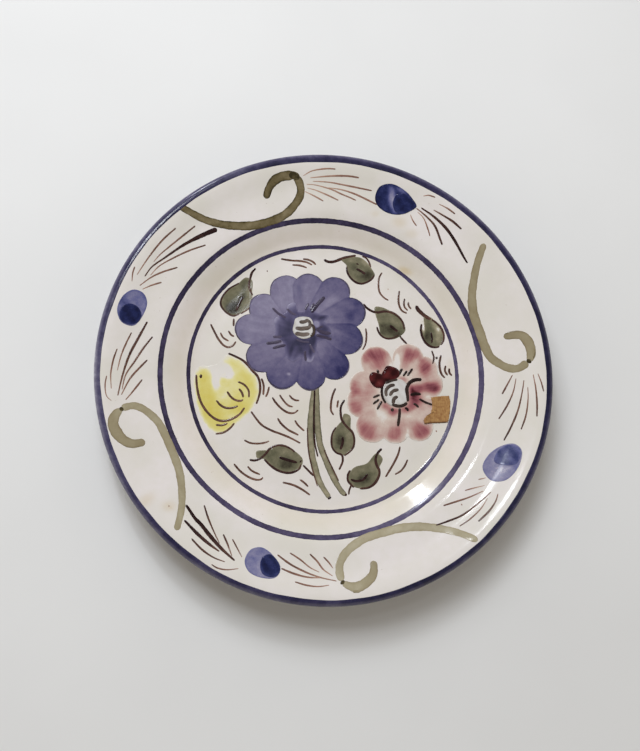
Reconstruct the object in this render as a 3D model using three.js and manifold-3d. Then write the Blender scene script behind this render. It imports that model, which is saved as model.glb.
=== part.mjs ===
// Hand painted ceramic plate: thrown clay body, white glaze coats, a blue glazed edge,
// flowers, leaves, rim scrolls, berries and sprigs in coloured enamel, and a scrap of paper tape.
// Millimetres, +Z up, origin at the centre of the foot's standing face.
// +Y points to the top of the painting and +X to its right.

import * as THREE from "three";
import Module from "manifold-3d";

const manifold = await Module();
manifold.setup();
const { CrossSection } = manifold;

// ---- body sizes ----
const TURNS = 48; // facets around every thrown surface
const GLAZE = 0.5; // glaze coat thickness
const GAP = 0.3; // clear space between neighbouring bodies
const LIP_CENTRE = 122.6; // radius of the centre of the rounded lip
const LIP_RADIUS = 2.4;
const LIP_TOP = 22.7; // height of the lip's crest
const EDGE_BAND_FROM = 120.8; // radius where the blue edge glaze begins, on face and back
const FOOT_OUTER = 71.5;
const FOOT_INNER = 66.5;
const RECESS_HEIGHT = 3.5; // underside of the well inside the foot ring
const FOOT_CHAMFER = 0.5;
const BARE_FOOT = 1; // the glaze is wiped off the foot's last millimetre

// Face of the plate, [radius, height]: flat well, steep cavetto, gently rising rim.
const FACE = [
  [0, 9],
  [66, 9],
  [70.5, 9.18],
  [74.5, 9.74],
  [78, 10.8],
  [82, 12.6],
  [86, 14.45],
  [90, 16.03],
  [95, 17.2],
  [102, 18.25],
  [110, 19.9],
  [115, 21.35],
  [119, 22.35],
  [LIP_CENTRE, LIP_TOP],
];
// Total thickness of the plate under each point of FACE.
const WALL = [5.5, 5.5, 5.5, 5.6, 5.7, 5.7, 5.6, 5.5, 5.4, 5.3, 5.2, 5, 4.9, 2 * LIP_RADIUS];

// ---- painted layer ----
const PAINT = 0.3; // enamel thickness
const TAPE_LIFT = 0.6; // the tape lies over the enamel

const COLOURS = {
  clay: 0xc9a37f,
  glaze: 0xd9c9bd,
  edge_blue: 0x2f2c45,
  line_blue: 0x453a58,
  petal_blue: 0x6a5f78,
  berry_blue: 0x262a4d,
  petal_red: 0xa86a66,
  petal_yellow: 0xc9b06a,
  eye_white: 0xdccbc6,
  leaf_green: 0x655a49,
  scroll_olive: 0x8f7d63,
  sprig_brown: 0x4a2f24,
  tape: 0x9a6d48,
};

const plate = new THREE.Group();
plate.name = "hand_painted_plate";

function add(name, geometry, colour, roughness = 0.2) {
  const material = new THREE.MeshStandardMaterial({ color: COLOURS[colour], roughness });
  const mesh = new THREE.Mesh(geometry, material);
  mesh.name = name;
  plate.add(mesh);
}

// ---- thrown surfaces ----

// Unit normal of the face, as [outward, upward], at point i of FACE.
function faceNormal(i) {
  if (i === 0 || i === FACE.length - 1) return [0, 1];
  const [r0, z0] = FACE[i - 1];
  const [r1, z1] = FACE[i + 1];
  const length = Math.hypot(r1 - r0, z1 - z0);
  return [-(z1 - z0) / length, (r1 - r0) / length];
}

// Point under FACE[i], a given depth into the wall.
function underFace(i, depth) {
  const [r, z] = FACE[i];
  const [nr, nz] = i === 1 ? [0, 1] : faceNormal(i);
  return [Math.max(0, r - nr * depth), z - nz * depth];
}

// Point over the back of the plate, a given depth into the wall.
function overBack(i, depth) {
  return underFace(i, WALL[i] - depth);
}

// Point on the rounded lip: 0 degrees is the crest, 180 the underside.
function lip(degrees, depth) {
  const angle = THREE.MathUtils.degToRad(degrees);
  const radius = LIP_RADIUS - depth;
  return [LIP_CENTRE + radius * Math.sin(angle), LIP_TOP - LIP_RADIUS + radius * Math.cos(angle)];
}

// Point of the face or back at a stated radius, on the straight run between FACE points.
function atRadius(radius, place, depth) {
  const last = FACE.length - 1;
  const [r0, z0] = place(last - 1, depth);
  const [r1, z1] = place(last, depth);
  const t = (radius - r0) / (r1 - r0);
  return [radius, z0 + t * (z1 - z0)];
}

const LAST = FACE.length - 1;
const INDICES = FACE.map((_, i) => i);
const LIP_ANGLES = [0, 30, 60, 90, 120, 150, 180];
// The back leaves the foot's outer wall at the fourth point of FACE.
const BACK_FROM = 4;

function lathe(profile) {
  const points = profile.map(([r, z]) => new THREE.Vector2(r, z));
  const geometry = new THREE.LatheGeometry(points, TURNS);
  geometry.rotateX(Math.PI / 2);
  return geometry;
}

function closed(profile) {
  return [...profile, profile[0]];
}

const skin = GLAZE + GAP;

function clayProfile() {
  const face = INDICES.map((i) => underFace(i, skin));
  const edge = LIP_ANGLES.slice(1, -1).map((a) => lip(a, skin));
  const back = INDICES.slice(BACK_FROM).reverse().map((i) => overBack(i, skin));
  const foot = [
    [FOOT_OUTER - skin, 4.4],
    [FOOT_OUTER - skin, FOOT_CHAMFER],
    [FOOT_OUTER - skin - FOOT_CHAMFER, 0],
    [FOOT_INNER + skin + FOOT_CHAMFER, 0],
    [FOOT_INNER + skin, FOOT_CHAMFER],
    [FOOT_INNER + skin, RECESS_HEIGHT + skin],
    [0, RECESS_HEIGHT + skin],
  ];
  return [...face, ...edge, ...back, ...foot].reverse();
}

function faceCoatProfile() {
  const end = EDGE_BAND_FROM - GAP;
  const inside = INDICES.slice(0, LAST);
  const top = [...inside.map((i) => underFace(i, 0)), atRadius(end, underFace, 0)];
  const bottom = [...inside.map((i) => underFace(i, GLAZE)), atRadius(end, underFace, GLAZE)];
  return [...bottom, ...top.reverse()];
}

function edgeBandProfile() {
  const outer = [
    atRadius(EDGE_BAND_FROM, underFace, 0),
    ...LIP_ANGLES.map((a) => lip(a, 0)),
    atRadius(EDGE_BAND_FROM, overBack, 0),
  ];
  const inner = [
    atRadius(EDGE_BAND_FROM, underFace, GLAZE),
    ...LIP_ANGLES.map((a) => lip(a, GLAZE)),
    atRadius(EDGE_BAND_FROM, overBack, GLAZE),
  ];
  return closed([...inner, ...outer.reverse()]);
}

function backCoatProfile() {
  const start = EDGE_BAND_FROM - GAP;
  const rows = INDICES.slice(BACK_FROM, LAST).reverse();
  const outer = [
    atRadius(start, overBack, 0),
    ...rows.map((i) => overBack(i, 0)),
    [FOOT_OUTER, 3.9],
    [FOOT_OUTER, BARE_FOOT],
  ];
  const inner = [
    atRadius(start, overBack, GLAZE),
    ...rows.map((i) => overBack(i, GLAZE)),
    [FOOT_OUTER - GLAZE, 4.2],
    [FOOT_OUTER - GLAZE, BARE_FOOT],
  ];
  return closed([...inner, ...outer.reverse()]);
}

function recessCoatProfile() {
  return [
    [0, RECESS_HEIGHT],
    [FOOT_INNER, RECESS_HEIGHT],
    [FOOT_INNER, BARE_FOOT],
    [FOOT_INNER + GLAZE, BARE_FOOT],
    [FOOT_INNER + GLAZE, RECESS_HEIGHT + GLAZE],
    [0, RECESS_HEIGHT + GLAZE],
  ];
}

add("clay_body", lathe(clayProfile()), "clay", 0.85);
add("face_glaze", lathe(faceCoatProfile()), "glaze", 0.12);
add("edge_band", lathe(edgeBandProfile()), "edge_blue", 0.12);
add("back_glaze", lathe(backCoatProfile()), "glaze", 0.15);
add("foot_recess_glaze", lathe(recessCoatProfile()), "glaze", 0.15);

// ---- painted outlines, drawn flat and then laid on the face ----

// Height of the faceted face above a point of the plate.
function faceHeight(x, y) {
  const facet = (2 * Math.PI) / TURNS;
  const angle = Math.atan2(y, x);
  const middle = (Math.floor(angle / facet) + 0.5) * facet;
  const r = (Math.hypot(x, y) * Math.cos(angle - middle)) / Math.cos(facet / 2);
  const i = Math.min(LAST, Math.max(1, FACE.findIndex(([radius]) => radius >= r)));
  const [r0, z0] = FACE[i - 1];
  const [r1, z1] = FACE[i];
  return z0 + ((z1 - z0) * (r - r0)) / (r1 - r0);
}

// A smooth curve through hand-placed points, as a list of [x, y].
function curve(points, samples, loop = false) {
  const vectors = points.map(([x, y]) => new THREE.Vector3(x, y, 0));
  const spline = new THREE.CatmullRomCurve3(vectors, loop, "centripetal");
  const found = spline.getPoints(samples).map((p) => [p.x, p.y]);
  return loop ? found.slice(0, -1) : found;
}

function section(outline) {
  return new CrossSection([outline], "NonZero");
}

function blob(points, samples = points.length * 2) {
  const outline = curve(points, samples, true);
  const turn = THREE.ShapeUtils.area(outline.map(([x, y]) => new THREE.Vector2(x, y)));
  return section(turn < 0 ? outline.reverse() : outline);
}

// Brush stroke: a curve given a width that swells from its start to its belly and thins to its tip.
function stroke(points, [start, belly, tip], samples = 6) {
  const line = curve(points, samples);
  const left = [];
  const right = [];
  line.forEach(([x, y], i) => {
    const [ax, ay] = line[Math.max(0, i - 1)];
    const [bx, by] = line[Math.min(line.length - 1, i + 1)];
    const length = Math.hypot(bx - ax, by - ay);
    const t = i / (line.length - 1);
    const width = t < 0.5 ? start + (belly - start) * 2 * t : belly + (tip - belly) * (2 * t - 1);
    const nx = ((by - ay) / length) * (width / 2);
    const ny = (-(bx - ax) / length) * (width / 2);
    right.push([x + nx, y + ny]);
    left.push([x - nx, y - ny]);
  });
  return section([...right, ...left.reverse()]);
}

// Ellipse: centre, half length, half width and turn in degrees.
function dab([x, y, a, b = a, turn = 0], samples = 24) {
  const angle = THREE.MathUtils.degToRad(turn);
  const outline = [];
  for (let i = 0; i < samples; i += 1) {
    const t = (2 * Math.PI * i) / samples;
    const u = a * Math.cos(t);
    const v = b * Math.sin(t);
    outline.push([x + u * Math.cos(angle) - v * Math.sin(angle), y + u * Math.sin(angle) + v * Math.cos(angle)]);
  }
  return section(outline);
}

// A flower: round petals joined through the disc in their middle.
function flower(petals, disc) {
  return CrossSection.union([dab(disc, 32), ...petals.map((p) => dab(p))]);
}

function ring([x, y], radius, width) {
  return dab([x, y, radius + width / 2], TURNS).subtract(dab([x, y, radius - width / 2], TURNS));
}

// Keeps a motif clear of the ones painted over it.
function clearOf(motif, ...others) {
  const spare = others.map((o) => o.offset(GAP, "Round", 2, 12));
  const cut = spare.reduce((rest, o) => rest.subtract(o), motif);
  const parts = cut.decompose();
  return parts.sort((a, b) => b.area() - a.area())[0];
}

// Lays a flat motif on the face as a thin solid that follows it.
function enamel(motif, lift = GAP, thickness = PAINT) {
  const loops = motif.simplify(0.02).toPolygons().map((loop) => loop.map(([x, y]) => new THREE.Vector2(x, y)));
  loops.sort((a, b) => Math.abs(THREE.ShapeUtils.area(b)) - Math.abs(THREE.ShapeUtils.area(a)));
  const shape = new THREE.Shape(loops[0]);
  shape.holes = loops.slice(1).map((loop) => new THREE.Path(loop));
  const geometry = new THREE.ExtrudeGeometry(shape, { depth: thickness, bevelEnabled: false });
  const position = geometry.getAttribute("position");
  for (let i = 0; i < position.count; i += 1) {
    const [x, y, z] = [position.getX(i), position.getY(i), position.getZ(i)];
    position.setZ(i, z + lift + faceHeight(x, y));
  }
  return geometry;
}

// ---- lines round the well and the rim, drawn a little off centre on the wheel ----
const innerLine = ring([-1.2, -0.8], 74.7, 2.4);
const outerLine = ring([-2.3, -0.9], 88.5, 2.5);

// ---- flowers of the well ----
const BLUE_PETALS = [
  [-35, 36.8, 8.6],
  [-22.5, 47, 9.5],
  [-10, 48.5, 9.3],
  [4.5, 47.4, 9],
  [13.5, 35.8, 8.8],
  [11.5, 20.5, 9.1],
  [4.2, 5.4, 8.6],
  [-9, -0.9, 8.5],
  [-24.5, 0.1, 9.1],
  [-35.7, 7.4, 8.9],
  [-42.3, 24.6, 8.8],
];
const blueEye = dab([-13.4, 26.2, 6.4, 5.2, 80], 18);
const blueFlower = clearOf(flower(BLUE_PETALS, [-13.4, 25, 24]), blueEye);

const RED_PETALS = [
  [28, 7.8, 8.9],
  [46.2, 9.8, 9],
  [55.2, 3.6, 8],
  [57.6, -4.4, 8.2],
  [54, -17, 7],
  [51.4, -28.6, 8.2],
  [38, -29.9, 8.4],
  [25.2, -29, 9],
  [20, -15.4, 9],
  [21.2, -6, 8.5],
];
const redEye = blob([
  [31.4, -6.5],
  [36, -3.6],
  [41.5, -1.8],
  [45.2, -5.5],
  [45.4, -13.5],
  [41, -16.6],
  [36, -17],
  [32.2, -13.5],
]);
const redFlower = clearOf(flower(RED_PETALS, [38.5, -10, 17]), redEye);

const yellowFlower = clearOf(
  blob([
    [-71.6, 0],
    [-66, 2.6],
    [-62.4, -3],
    [-57.5, -6.4],
    [-51.5, -3.2],
    [-54.6, 3.5],
    [-55, 9.6],
    [-49, 8.6],
    [-42.5, 3],
    [-37.4, -4],
    [-36.8, -12],
    [-41, -21],
    [-49, -28.5],
    [-57, -34.2],
    [-63.5, -32.4],
    [-68.6, -24],
    [-71.8, -12],
  ]),
  blueFlower,
);

// ---- stems and leaves ----
const leftStem = stroke(
  [[-6.4, -8], [-8.2, -20], [-8.9, -35], [-7.8, -46], [-4.6, -57], [1.5, -68.4]],
  [2.6, 4.2, 2.8],
  14,
);
const rightStem = stroke(
  [[-4.6, -12], [-5, -25], [-3.6, -38], [0.5, -50], [5.2, -60], [10.2, -66.6]],
  [2.2, 4, 2.4],
  14,
);

const LEAVES = {
  leaf_1: [[-58.8, 39], [-56, 46], [-50, 50.4], [-45.6, 54.4], [-42, 53], [-41.8, 46], [-42, 38.5], [-47, 34], [-54, 32.3]],
  leaf_2: [[8.6, 67], [15, 69.4], [21.5, 68.2], [25.4, 63], [27.2, 58], [20, 53], [14, 56.6], [11.6, 62]],
  leaf_3: [[27.5, 39.3], [31, 39.6], [38, 36.4], [43.4, 31.4], [44.8, 26], [38, 20.9], [31.4, 22.6], [29.6, 29]],
  leaf_4: [[55.6, 34.6], [59.4, 34.5], [65, 29.6], [67.2, 22.5], [64, 17.1], [57.6, 17.6], [54, 24], [54.2, 31]],
  leaf_5: [[9.6, -22], [13, -23], [15.3, -36], [13.4, -42.6], [8.8, -45], [4, -42.2], [2.4, -37], [5, -30]],
  leaf_6: [[27.5, -43.6], [30.9, -46.5], [28.8, -52], [28, -58.6], [21, -63], [13.6, -61.4], [11.4, -57], [15, -51.6], [22, -49.2]],
  leaf_7: [[-38.2, -43.4], [-32, -42.6], [-26, -40.1], [-19, -42], [-13, -47.6], [-14.4, -52], [-21.6, -55], [-29, -52], [-34, -47.6], [-37.8, -47.2]],
};

// ---- rim: four scrolls, each a long stroke that turns into a hook ----
const SCROLLS = {
  scroll_1: [
    [[-79.4, 87.6], [-63, 82.6], [-48, 81.9], [-35, 84.4], [-23.6, 90.3], [-16.4, 99.5], [-17, 109.6]],
    [[-16.8, 110.6], [-23, 111.2], [-30.5, 108], [-35, 102], [-35.3, 98]],
  ],
  scroll_2: [
    [[88.6, 75], [84, 60], [81.8, 45], [84, 30], [89, 15.2], [95.8, 6.8], [103.8, 3.3], [111, 7]],
    [[112, 7.4], [113.2, 14], [109, 21.4], [104, 22.6], [99, 21.5]],
  ],
  scroll_3: [
    [[78.6, -91], [65, -85.9], [48, -83.7], [30, -86.5], [15, -92.6], [6.2, -101.5], [6.4, -111.6]],
    [[7, -112.8], [14.4, -115.2], [21.6, -111.2], [23.7, -105], [23.4, -101.8]],
  ],
  scroll_4: [
    [[-79.2, -86.4], [-77, -72], [-79, -55], [-85.2, -40], [-94, -26.3], [-103, -21.3], [-109, -23]],
    [[-110, -23.4], [-113.6, -30.5], [-109.6, -38.8], [-103.5, -41.6], [-97.4, -40.4]],
  ],
};
const SCROLL_WIDTHS = [3.6, 4.8, 3.6];

const BERRIES = {
  berry_1: [[26.8, 101.6], [29.4, 107.8], [36, 109], [44, 105], [49.8, 99], [49.4, 94.4], [42, 91.3], [33, 93]],
  berry_2: [[-98.7, 35.6], [-101, 40.6], [-106, 41.9], [-111.4, 38], [-114.2, 30], [-111.4, 23.4], [-105.4, 22.2], [-100.8, 28]],
  berry_3: [[-44, -101.6], [-41, -96], [-35.4, -94.7], [-29.4, -98.6], [-25.3, -106], [-28, -110.2], [-35.6, -110.2], [-42, -107]],
  berry_4: [[84.2, -52], [87.6, -45], [94.6, -40], [102, -38.7], [105.6, -42.4], [103.2, -51.6], [96, -58.8], [88.4, -58.8]],
};

// Sprigs: a fan of tapering strokes from one root, each given by its middle and its tip.
const SPRIGS = {
  sprig_1: {
    root: [-11.6, 108.6],
    strokes: [
      [[-5, 115.4], [4, 116.2]],
      [[3, 112.4], [17.6, 112]],
      [[8, 108.2], [25, 105]],
      [[10, 105], [26, 98]],
      [[0, 102.4], [6, 99]],
      [[-7.4, 101.6], [-2.4, 98.2]],
    ],
  },
  sprig_2: {
    root: [53.4, 95],
    strokes: [
      [[57, 101], [61, 101.2]],
      [[65, 95.2], [72.2, 91.8]],
      [[66.5, 90.4], [76, 83.4]],
      [[68, 82.6], [78, 66.6]],
      [[61.6, 84.8], [65.2, 74.8]],
      [[56.4, 86.4], [58.2, 79.8]],
    ],
  },
  sprig_3: {
    root: [109.6, -0.8],
    strokes: [
      [[101, -4.4], [96.8, -11]],
      [[101.4, -13.4], [94.4, -25]],
      [[105.4, -19.4], [96.6, -37]],
      [[110.2, -16], [106, -31]],
      [[114.6, -9], [114.6, -24]],
      [[117, -3.6], [118.8, -10]],
    ],
  },
  sprig_4: {
    root: [90.4, -63.4],
    strokes: [
      [[82, -61.6], [74, -64.4]],
      [[78, -67.2], [62.4, -72.4]],
      [[77, -74.2], [61, -81]],
      [[80, -77], [70, -83.6]],
      [[88, -73.6], [80, -81]],
    ],
  },
  sprig_5: {
    root: [1.6, -110],
    strokes: [
      [[1.2, -103.4], [-2.6, -99.6]],
      [[-5.6, -102.6], [-10, -98]],
      [[-9.6, -105], [-20, -97.8]],
      [[-13, -107.4], [-26, -99.4]],
      [[-10, -110.4], [-24, -106]],
      [[-7, -114.6], [-17.6, -112.4]],
    ],
  },
  sprig_6: {
    root: [-49.6, -101.2],
    strokes: [
      [[-47.4, -95.6], [-50.4, -90.6]],
      [[-53, -93.6], [-55.4, -88.2]],
      [[-59.6, -87.4], [-65.4, -73.2]],
      [[-62, -88.8], [-73.4, -75.2]],
      [[-64, -92], [-75.4, -81]],
      [[-62, -98.8], [-71.4, -90.8]],
      [[-53.6, -106], [-60.8, -103.6]],
    ],
  },
  sprig_7: {
    root: [-112, -16.6],
    strokes: [
      [[-118.4, -12], [-118, -6]],
      [[-115.8, -4], [-113.2, 9]],
      [[-111, 6], [-106.4, 18.4]],
      [[-107.4, 4.8], [-98.4, 24.8]],
      [[-103.6, 3], [-95.4, 16.8]],
      [[-104.4, -4.4], [-97.6, 4]],
      [[-104.2, -12.6], [-99.8, -7]],
    ],
  },
  sprig_8: {
    root: [-103.6, 46.4],
    strokes: [
      [[-106.6, 50.4], [-105.8, 54.4]],
      [[-98.4, 60.8], [-86, 76]],
      [[-90.4, 64], [-74.2, 80]],
      [[-86, 64.8], [-63.4, 78.8]],
      [[-87, 60.2], [-68.4, 69.6]],
      [[-91, 53], [-83.2, 56.2]],
      [[-96, 45.6], [-91.4, 47.2]],
    ],
  },
};
const SPRIG_WIDTHS = [1.4, 1.6, 0.8];
const SPRIG_ROOT = 1.6; // radius of the pool of paint where the strokes meet

const tape = section([
  [58.5, -21.5],
  [54.6, -23.4],
  [54.4, -26.8],
  [61, -26.3],
  [67.6, -26],
  [69.4, -16],
  [68.8, -10.9],
  [58.6, -11.9],
]);

// ---- the painting, each motif one solid ----
add("inner_line", enamel(innerLine), "line_blue");
add("outer_line", enamel(outerLine), "line_blue");
add("blue_flower", enamel(blueFlower), "petal_blue");
add("blue_flower_eye", enamel(blueEye), "eye_white");
add("red_flower", enamel(redFlower), "petal_red");
add("red_flower_eye", enamel(redEye), "eye_white");
add("yellow_flower", enamel(yellowFlower), "petal_yellow");
add("stem_left", enamel(clearOf(leftStem, blueFlower)), "leaf_green");
add("stem_right", enamel(clearOf(rightStem, leftStem, blueFlower)), "leaf_green");

for (const [name, outline] of Object.entries(LEAVES)) {
  add(name, enamel(clearOf(blob(outline), blueFlower)), "leaf_green");
}

const berries = Object.values(BERRIES).map((outline) => blob(outline));
Object.keys(BERRIES).forEach((name, i) => add(name, enamel(berries[i]), "berry_blue"));

const scrolls = Object.values(SCROLLS).map(([long, hook]) =>
  CrossSection.union([stroke(long, SCROLL_WIDTHS, 26), stroke(hook, SCROLL_WIDTHS, 12)]),
);
Object.keys(SCROLLS).forEach((name, i) => add(name, enamel(clearOf(scrolls[i], outerLine)), "scroll_olive"));

for (const [name, { root, strokes }] of Object.entries(SPRIGS)) {
  const fan = strokes.map(([middle, tip]) => stroke([root, middle, tip], SPRIG_WIDTHS, 4));
  const sprig = CrossSection.union([dab([...root, SPRIG_ROOT], 10), ...fan]);
  add(name, enamel(clearOf(sprig, ...berries, ...scrolls)), "sprig_brown");
}

add("tape_scrap", enamel(tape, GAP + TAPE_LIFT), "tape", 0.7);

export default plate;
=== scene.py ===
import math

import bpy
import numpy as np
from mathutils import Matrix, Vector


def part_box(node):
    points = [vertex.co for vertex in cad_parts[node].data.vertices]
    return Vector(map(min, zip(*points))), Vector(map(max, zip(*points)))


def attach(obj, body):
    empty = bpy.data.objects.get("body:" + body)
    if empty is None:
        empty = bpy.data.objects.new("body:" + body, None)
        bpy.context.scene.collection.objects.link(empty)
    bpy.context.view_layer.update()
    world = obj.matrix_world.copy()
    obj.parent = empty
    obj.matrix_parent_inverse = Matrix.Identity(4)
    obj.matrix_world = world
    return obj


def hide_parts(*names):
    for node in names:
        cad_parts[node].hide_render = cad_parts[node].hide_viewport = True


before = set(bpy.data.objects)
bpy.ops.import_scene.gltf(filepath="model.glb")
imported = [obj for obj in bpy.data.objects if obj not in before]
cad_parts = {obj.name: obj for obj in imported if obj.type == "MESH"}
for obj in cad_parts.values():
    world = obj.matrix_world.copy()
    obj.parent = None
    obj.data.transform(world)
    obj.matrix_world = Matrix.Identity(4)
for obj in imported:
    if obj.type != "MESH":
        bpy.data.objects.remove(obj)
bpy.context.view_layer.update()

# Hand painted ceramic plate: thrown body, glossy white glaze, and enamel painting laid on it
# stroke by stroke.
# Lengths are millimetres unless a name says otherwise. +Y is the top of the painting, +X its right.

MM = 0.001

# ---- sizes read from the frame ----


def node_box(name):
    low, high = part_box(name)
    return np.array(low) / MM, np.array(high) / MM


GLAZE = 0.5  # glaze coat thickness
FLOOR_Z = node_box("face_glaze")[0][2] + GLAZE
PLATE_RADIUS = node_box("edge_band")[1][0]
LIP_TOP = node_box("edge_band")[1][2]
FOOT_INNER = node_box("foot_recess_glaze")[1][0] - GLAZE
FOOT_OUTER = FOOT_INNER + 5
RECESS_Z = node_box("foot_recess_glaze")[1][2] - GLAZE
LIP_RADIUS = 2.4
LIP_CENTRE = PLATE_RADIUS - LIP_RADIUS
BARE_FOOT = 1.0  # the glaze is wiped off the foot's last millimetre

# ---- the thrown face: slope in degrees at stated radii, eased between them ----
FACE_SLOPES = [
    (0, 0), (66, 0), (71, 5), (76, 16), (80, 25), (86, 25), (91, 16), (95, 9),
    (100, 8), (105, 10), (109, 14.5), (113, 17), (117, 14.5), (120, 9), (LIP_CENTRE, 0),
]
WALL = [(0, 5.5), (74, 5.6), (80, 5.7), (95, 5.4), (110, 5.2), (LIP_CENTRE, 2 * LIP_RADIUS)]


def ease(t):
    t = np.clip(t, 0, 1)
    return t * t * (3 - 2 * t)


def face_profile():
    """Radius, slope and height of the face every 0.05 mm, scaled to end exactly at the lip's crest."""
    radius = np.arange(0, LIP_CENTRE + 0.025, 0.05)
    knots = np.array(FACE_SLOPES, float)
    i = np.clip(np.searchsorted(knots[:, 0], radius, side="right") - 1, 0, len(knots) - 2)
    t = ease((radius - knots[i, 0]) / (knots[i + 1, 0] - knots[i, 0]))
    slope = np.radians(knots[i, 1] + (knots[i + 1, 1] - knots[i, 1]) * t)
    rise = np.concatenate([[0], np.cumsum(np.tan(slope[1:]) * np.diff(radius))])
    return radius, slope, FLOOR_Z + rise * (LIP_TOP - FLOOR_Z) / rise[-1]


FACE_R, FACE_SLOPE, FACE_Z = face_profile()


WARP_START = 75  # radius from which the rim is out of true
WARP_REACH = 50


def wobble(x, y):
    """The rim of a hand thrown plate isn't perfectly level."""
    turn = np.arctan2(y, x)
    out = ease((np.hypot(x, y) - WARP_START) / WARP_REACH)
    return out * (0.15 * np.sin(2 * turn + 0.7) + 0.08 * np.sin(3 * turn - 1.1))


def on_face(x, y, lift):
    """Points that stand `lift` off the glazed face, along its normal."""
    r = np.hypot(x, y)
    slope = np.interp(r, FACE_R, FACE_SLOPE)
    z = np.interp(r, FACE_R, FACE_Z) + wobble(x, y)
    inward = np.sin(slope) * lift / np.maximum(r, 1e-6)
    return np.stack([x - x * inward, y - y * inward, z + np.cos(slope) * lift], -1)


def under_face(r, depth):
    """Radius and height of a point at some depth under the face."""
    slope = np.interp(r, FACE_R, FACE_SLOPE)
    return [r - math.sin(slope) * depth, np.interp(r, FACE_R, FACE_Z) - math.cos(slope) * depth]


def over_back(r, depth):
    wall = np.interp(r, *np.array(WALL).T)
    return under_face(r, wall - depth)


def on_lip(degrees, depth):
    """Point of the rounded lip: 0 is the crest and 180 the underside."""
    angle = math.radians(degrees)
    radius = LIP_RADIUS - depth
    return [LIP_CENTRE + radius * math.sin(angle), LIP_TOP - LIP_RADIUS + radius * math.cos(angle)]


# ---- hand-made irregularity ----
GOLDEN_ANGLE = 2.399  # radians between the phases of neighbouring seeds


def ripple(t, seed):
    """A smooth irregular wave between about -1 and 1; t in waves."""
    phase = seed * GOLDEN_ANGLE
    return (
        0.5 * np.sin(2 * math.pi * t + phase)
        + 0.3 * np.sin(2 * math.pi * 2.3 * t + 1.7 * phase)
        + 0.2 * np.sin(2 * math.pi * 4.1 * t + 2.9 * phase)
    )


def falloff(x, y, patch):
    """Weight of a soft oval patch (x, y, half length, half width, turn in degrees) at each point."""
    px, py, rx, ry, turn = patch
    c, s = math.cos(math.radians(turn)), math.sin(math.radians(turn))
    u = ((x - px) * c + (y - py) * s) / rx
    v = (-(x - px) * s + (y - py) * c) / ry
    return np.exp(-1.2 * (u * u + v * v) ** 1.4)


def patches(x, y, base, table, depth=1.0):
    """Pigment from a base amount and soft patches, each with the amount that it adds or takes away."""
    found = np.full(np.shape(x), float(base))
    for *patch, amount in table:
        found += depth * amount * falloff(x, y, patch)
    return found


# ---- mesh parts: each is (vertices in mm, faces, pigment per vertex) ----


def wrap_faces(rows, columns, row_loop, column_loop):
    """Quads of a grid of vertices, closed round either way."""
    faces = []
    for i in range(rows if row_loop else rows - 1):
        for j in range(columns if column_loop else columns - 1):
            a, b = i * columns, ((i + 1) % rows) * columns
            k = (j + 1) % columns
            faces.append((a + j, a + k, b + k, b + j))
    return faces


def revolve(profile, turns=360, change=None):
    """A closed body turned about Z. The profile runs counter to its inside and may end on the axis."""
    profile = np.array(profile, float)
    poles = [i for i in (0, len(profile) - 1) if profile[i, 0] < 1e-6]
    rings = np.array([p for i, p in enumerate(profile) if i not in poles])
    angle = np.linspace(0, 2 * math.pi, turns, endpoint=False)
    x = rings[:, :1] * np.cos(angle)
    y = rings[:, :1] * np.sin(angle)
    z = rings[:, 1:] + wobble(x, y)
    points = np.stack([x, y, z], -1)
    if change:
        points = change(points)
    faces = wrap_faces(len(rings), turns, not poles, True)
    vertices = points.reshape(-1, 3)
    for pole in poles:
        row = 0 if pole == 0 else len(rings) - 1
        centre = len(vertices)
        vertices = np.vstack([vertices, [0, 0, profile[pole, 1]]])
        for j in range(turns):
            ends = (row * turns + j, row * turns + (j + 1) % turns)
            faces.append((centre, ends[1], ends[0]) if pole == 0 else (centre, *ends))
    return vertices, faces, np.zeros(len(vertices))


def smooth_line(points, step=0.45, closed=False):
    """A centripetal spline through the given points, sampled evenly."""
    p = np.array(points, float)
    p = np.vstack([p[-1], p, p[:2]]) if closed else np.vstack([2 * p[0] - p[1], p, 2 * p[-1] - p[-2]])
    samples = []
    for p0, p1, p2, p3 in zip(p, p[1:], p[2:], p[3:]):
        knots = np.cumsum([0] + [math.dist(a, b) ** 0.5 for a, b in ((p0, p1), (p1, p2), (p2, p3))])
        t = np.linspace(knots[1], knots[2], 12, endpoint=False)[:, None]
        t0, t1, t2, t3 = knots
        a1 = (t1 - t) / (t1 - t0) * p0 + (t - t0) / (t1 - t0) * p1
        a2 = (t2 - t) / (t2 - t1) * p1 + (t - t1) / (t2 - t1) * p2
        a3 = (t3 - t) / (t3 - t2) * p2 + (t - t2) / (t3 - t2) * p3
        b1 = (t2 - t) / (t2 - t0) * a1 + (t - t0) / (t2 - t0) * a2
        b2 = (t3 - t) / (t3 - t1) * a2 + (t - t1) / (t3 - t1) * a3
        samples.append((t2 - t) / (t2 - t1) * b1 + (t - t1) / (t2 - t1) * b2)
    line = np.vstack(samples + [p[-2:-1]])
    along = np.concatenate([[0], np.cumsum(np.hypot(*np.diff(line, axis=0).T))])
    even = np.linspace(0, along[-1], max(5, int(along[-1] / step) + 1), endpoint=not closed)
    return np.stack([np.interp(even, along, line[:, k]) for k in (0, 1)], -1)


SINK = 0.06  # how far a paint layer's underside lies inside the glaze
DIP = 0.02  # its edge dips just under the surface
SHAKE = 0.07  # how much the hand changes a stroke's width
SHAKE_WAVE = 9  # length of one such change
UNEVEN = 0.06  # how much the pigment changes along a stroke
UNEVEN_WAVE = 24
ACROSS = np.array([-1, -0.92, -0.78, -0.5, 0, 0.5, 0.78, 0.92, 1])

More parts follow.
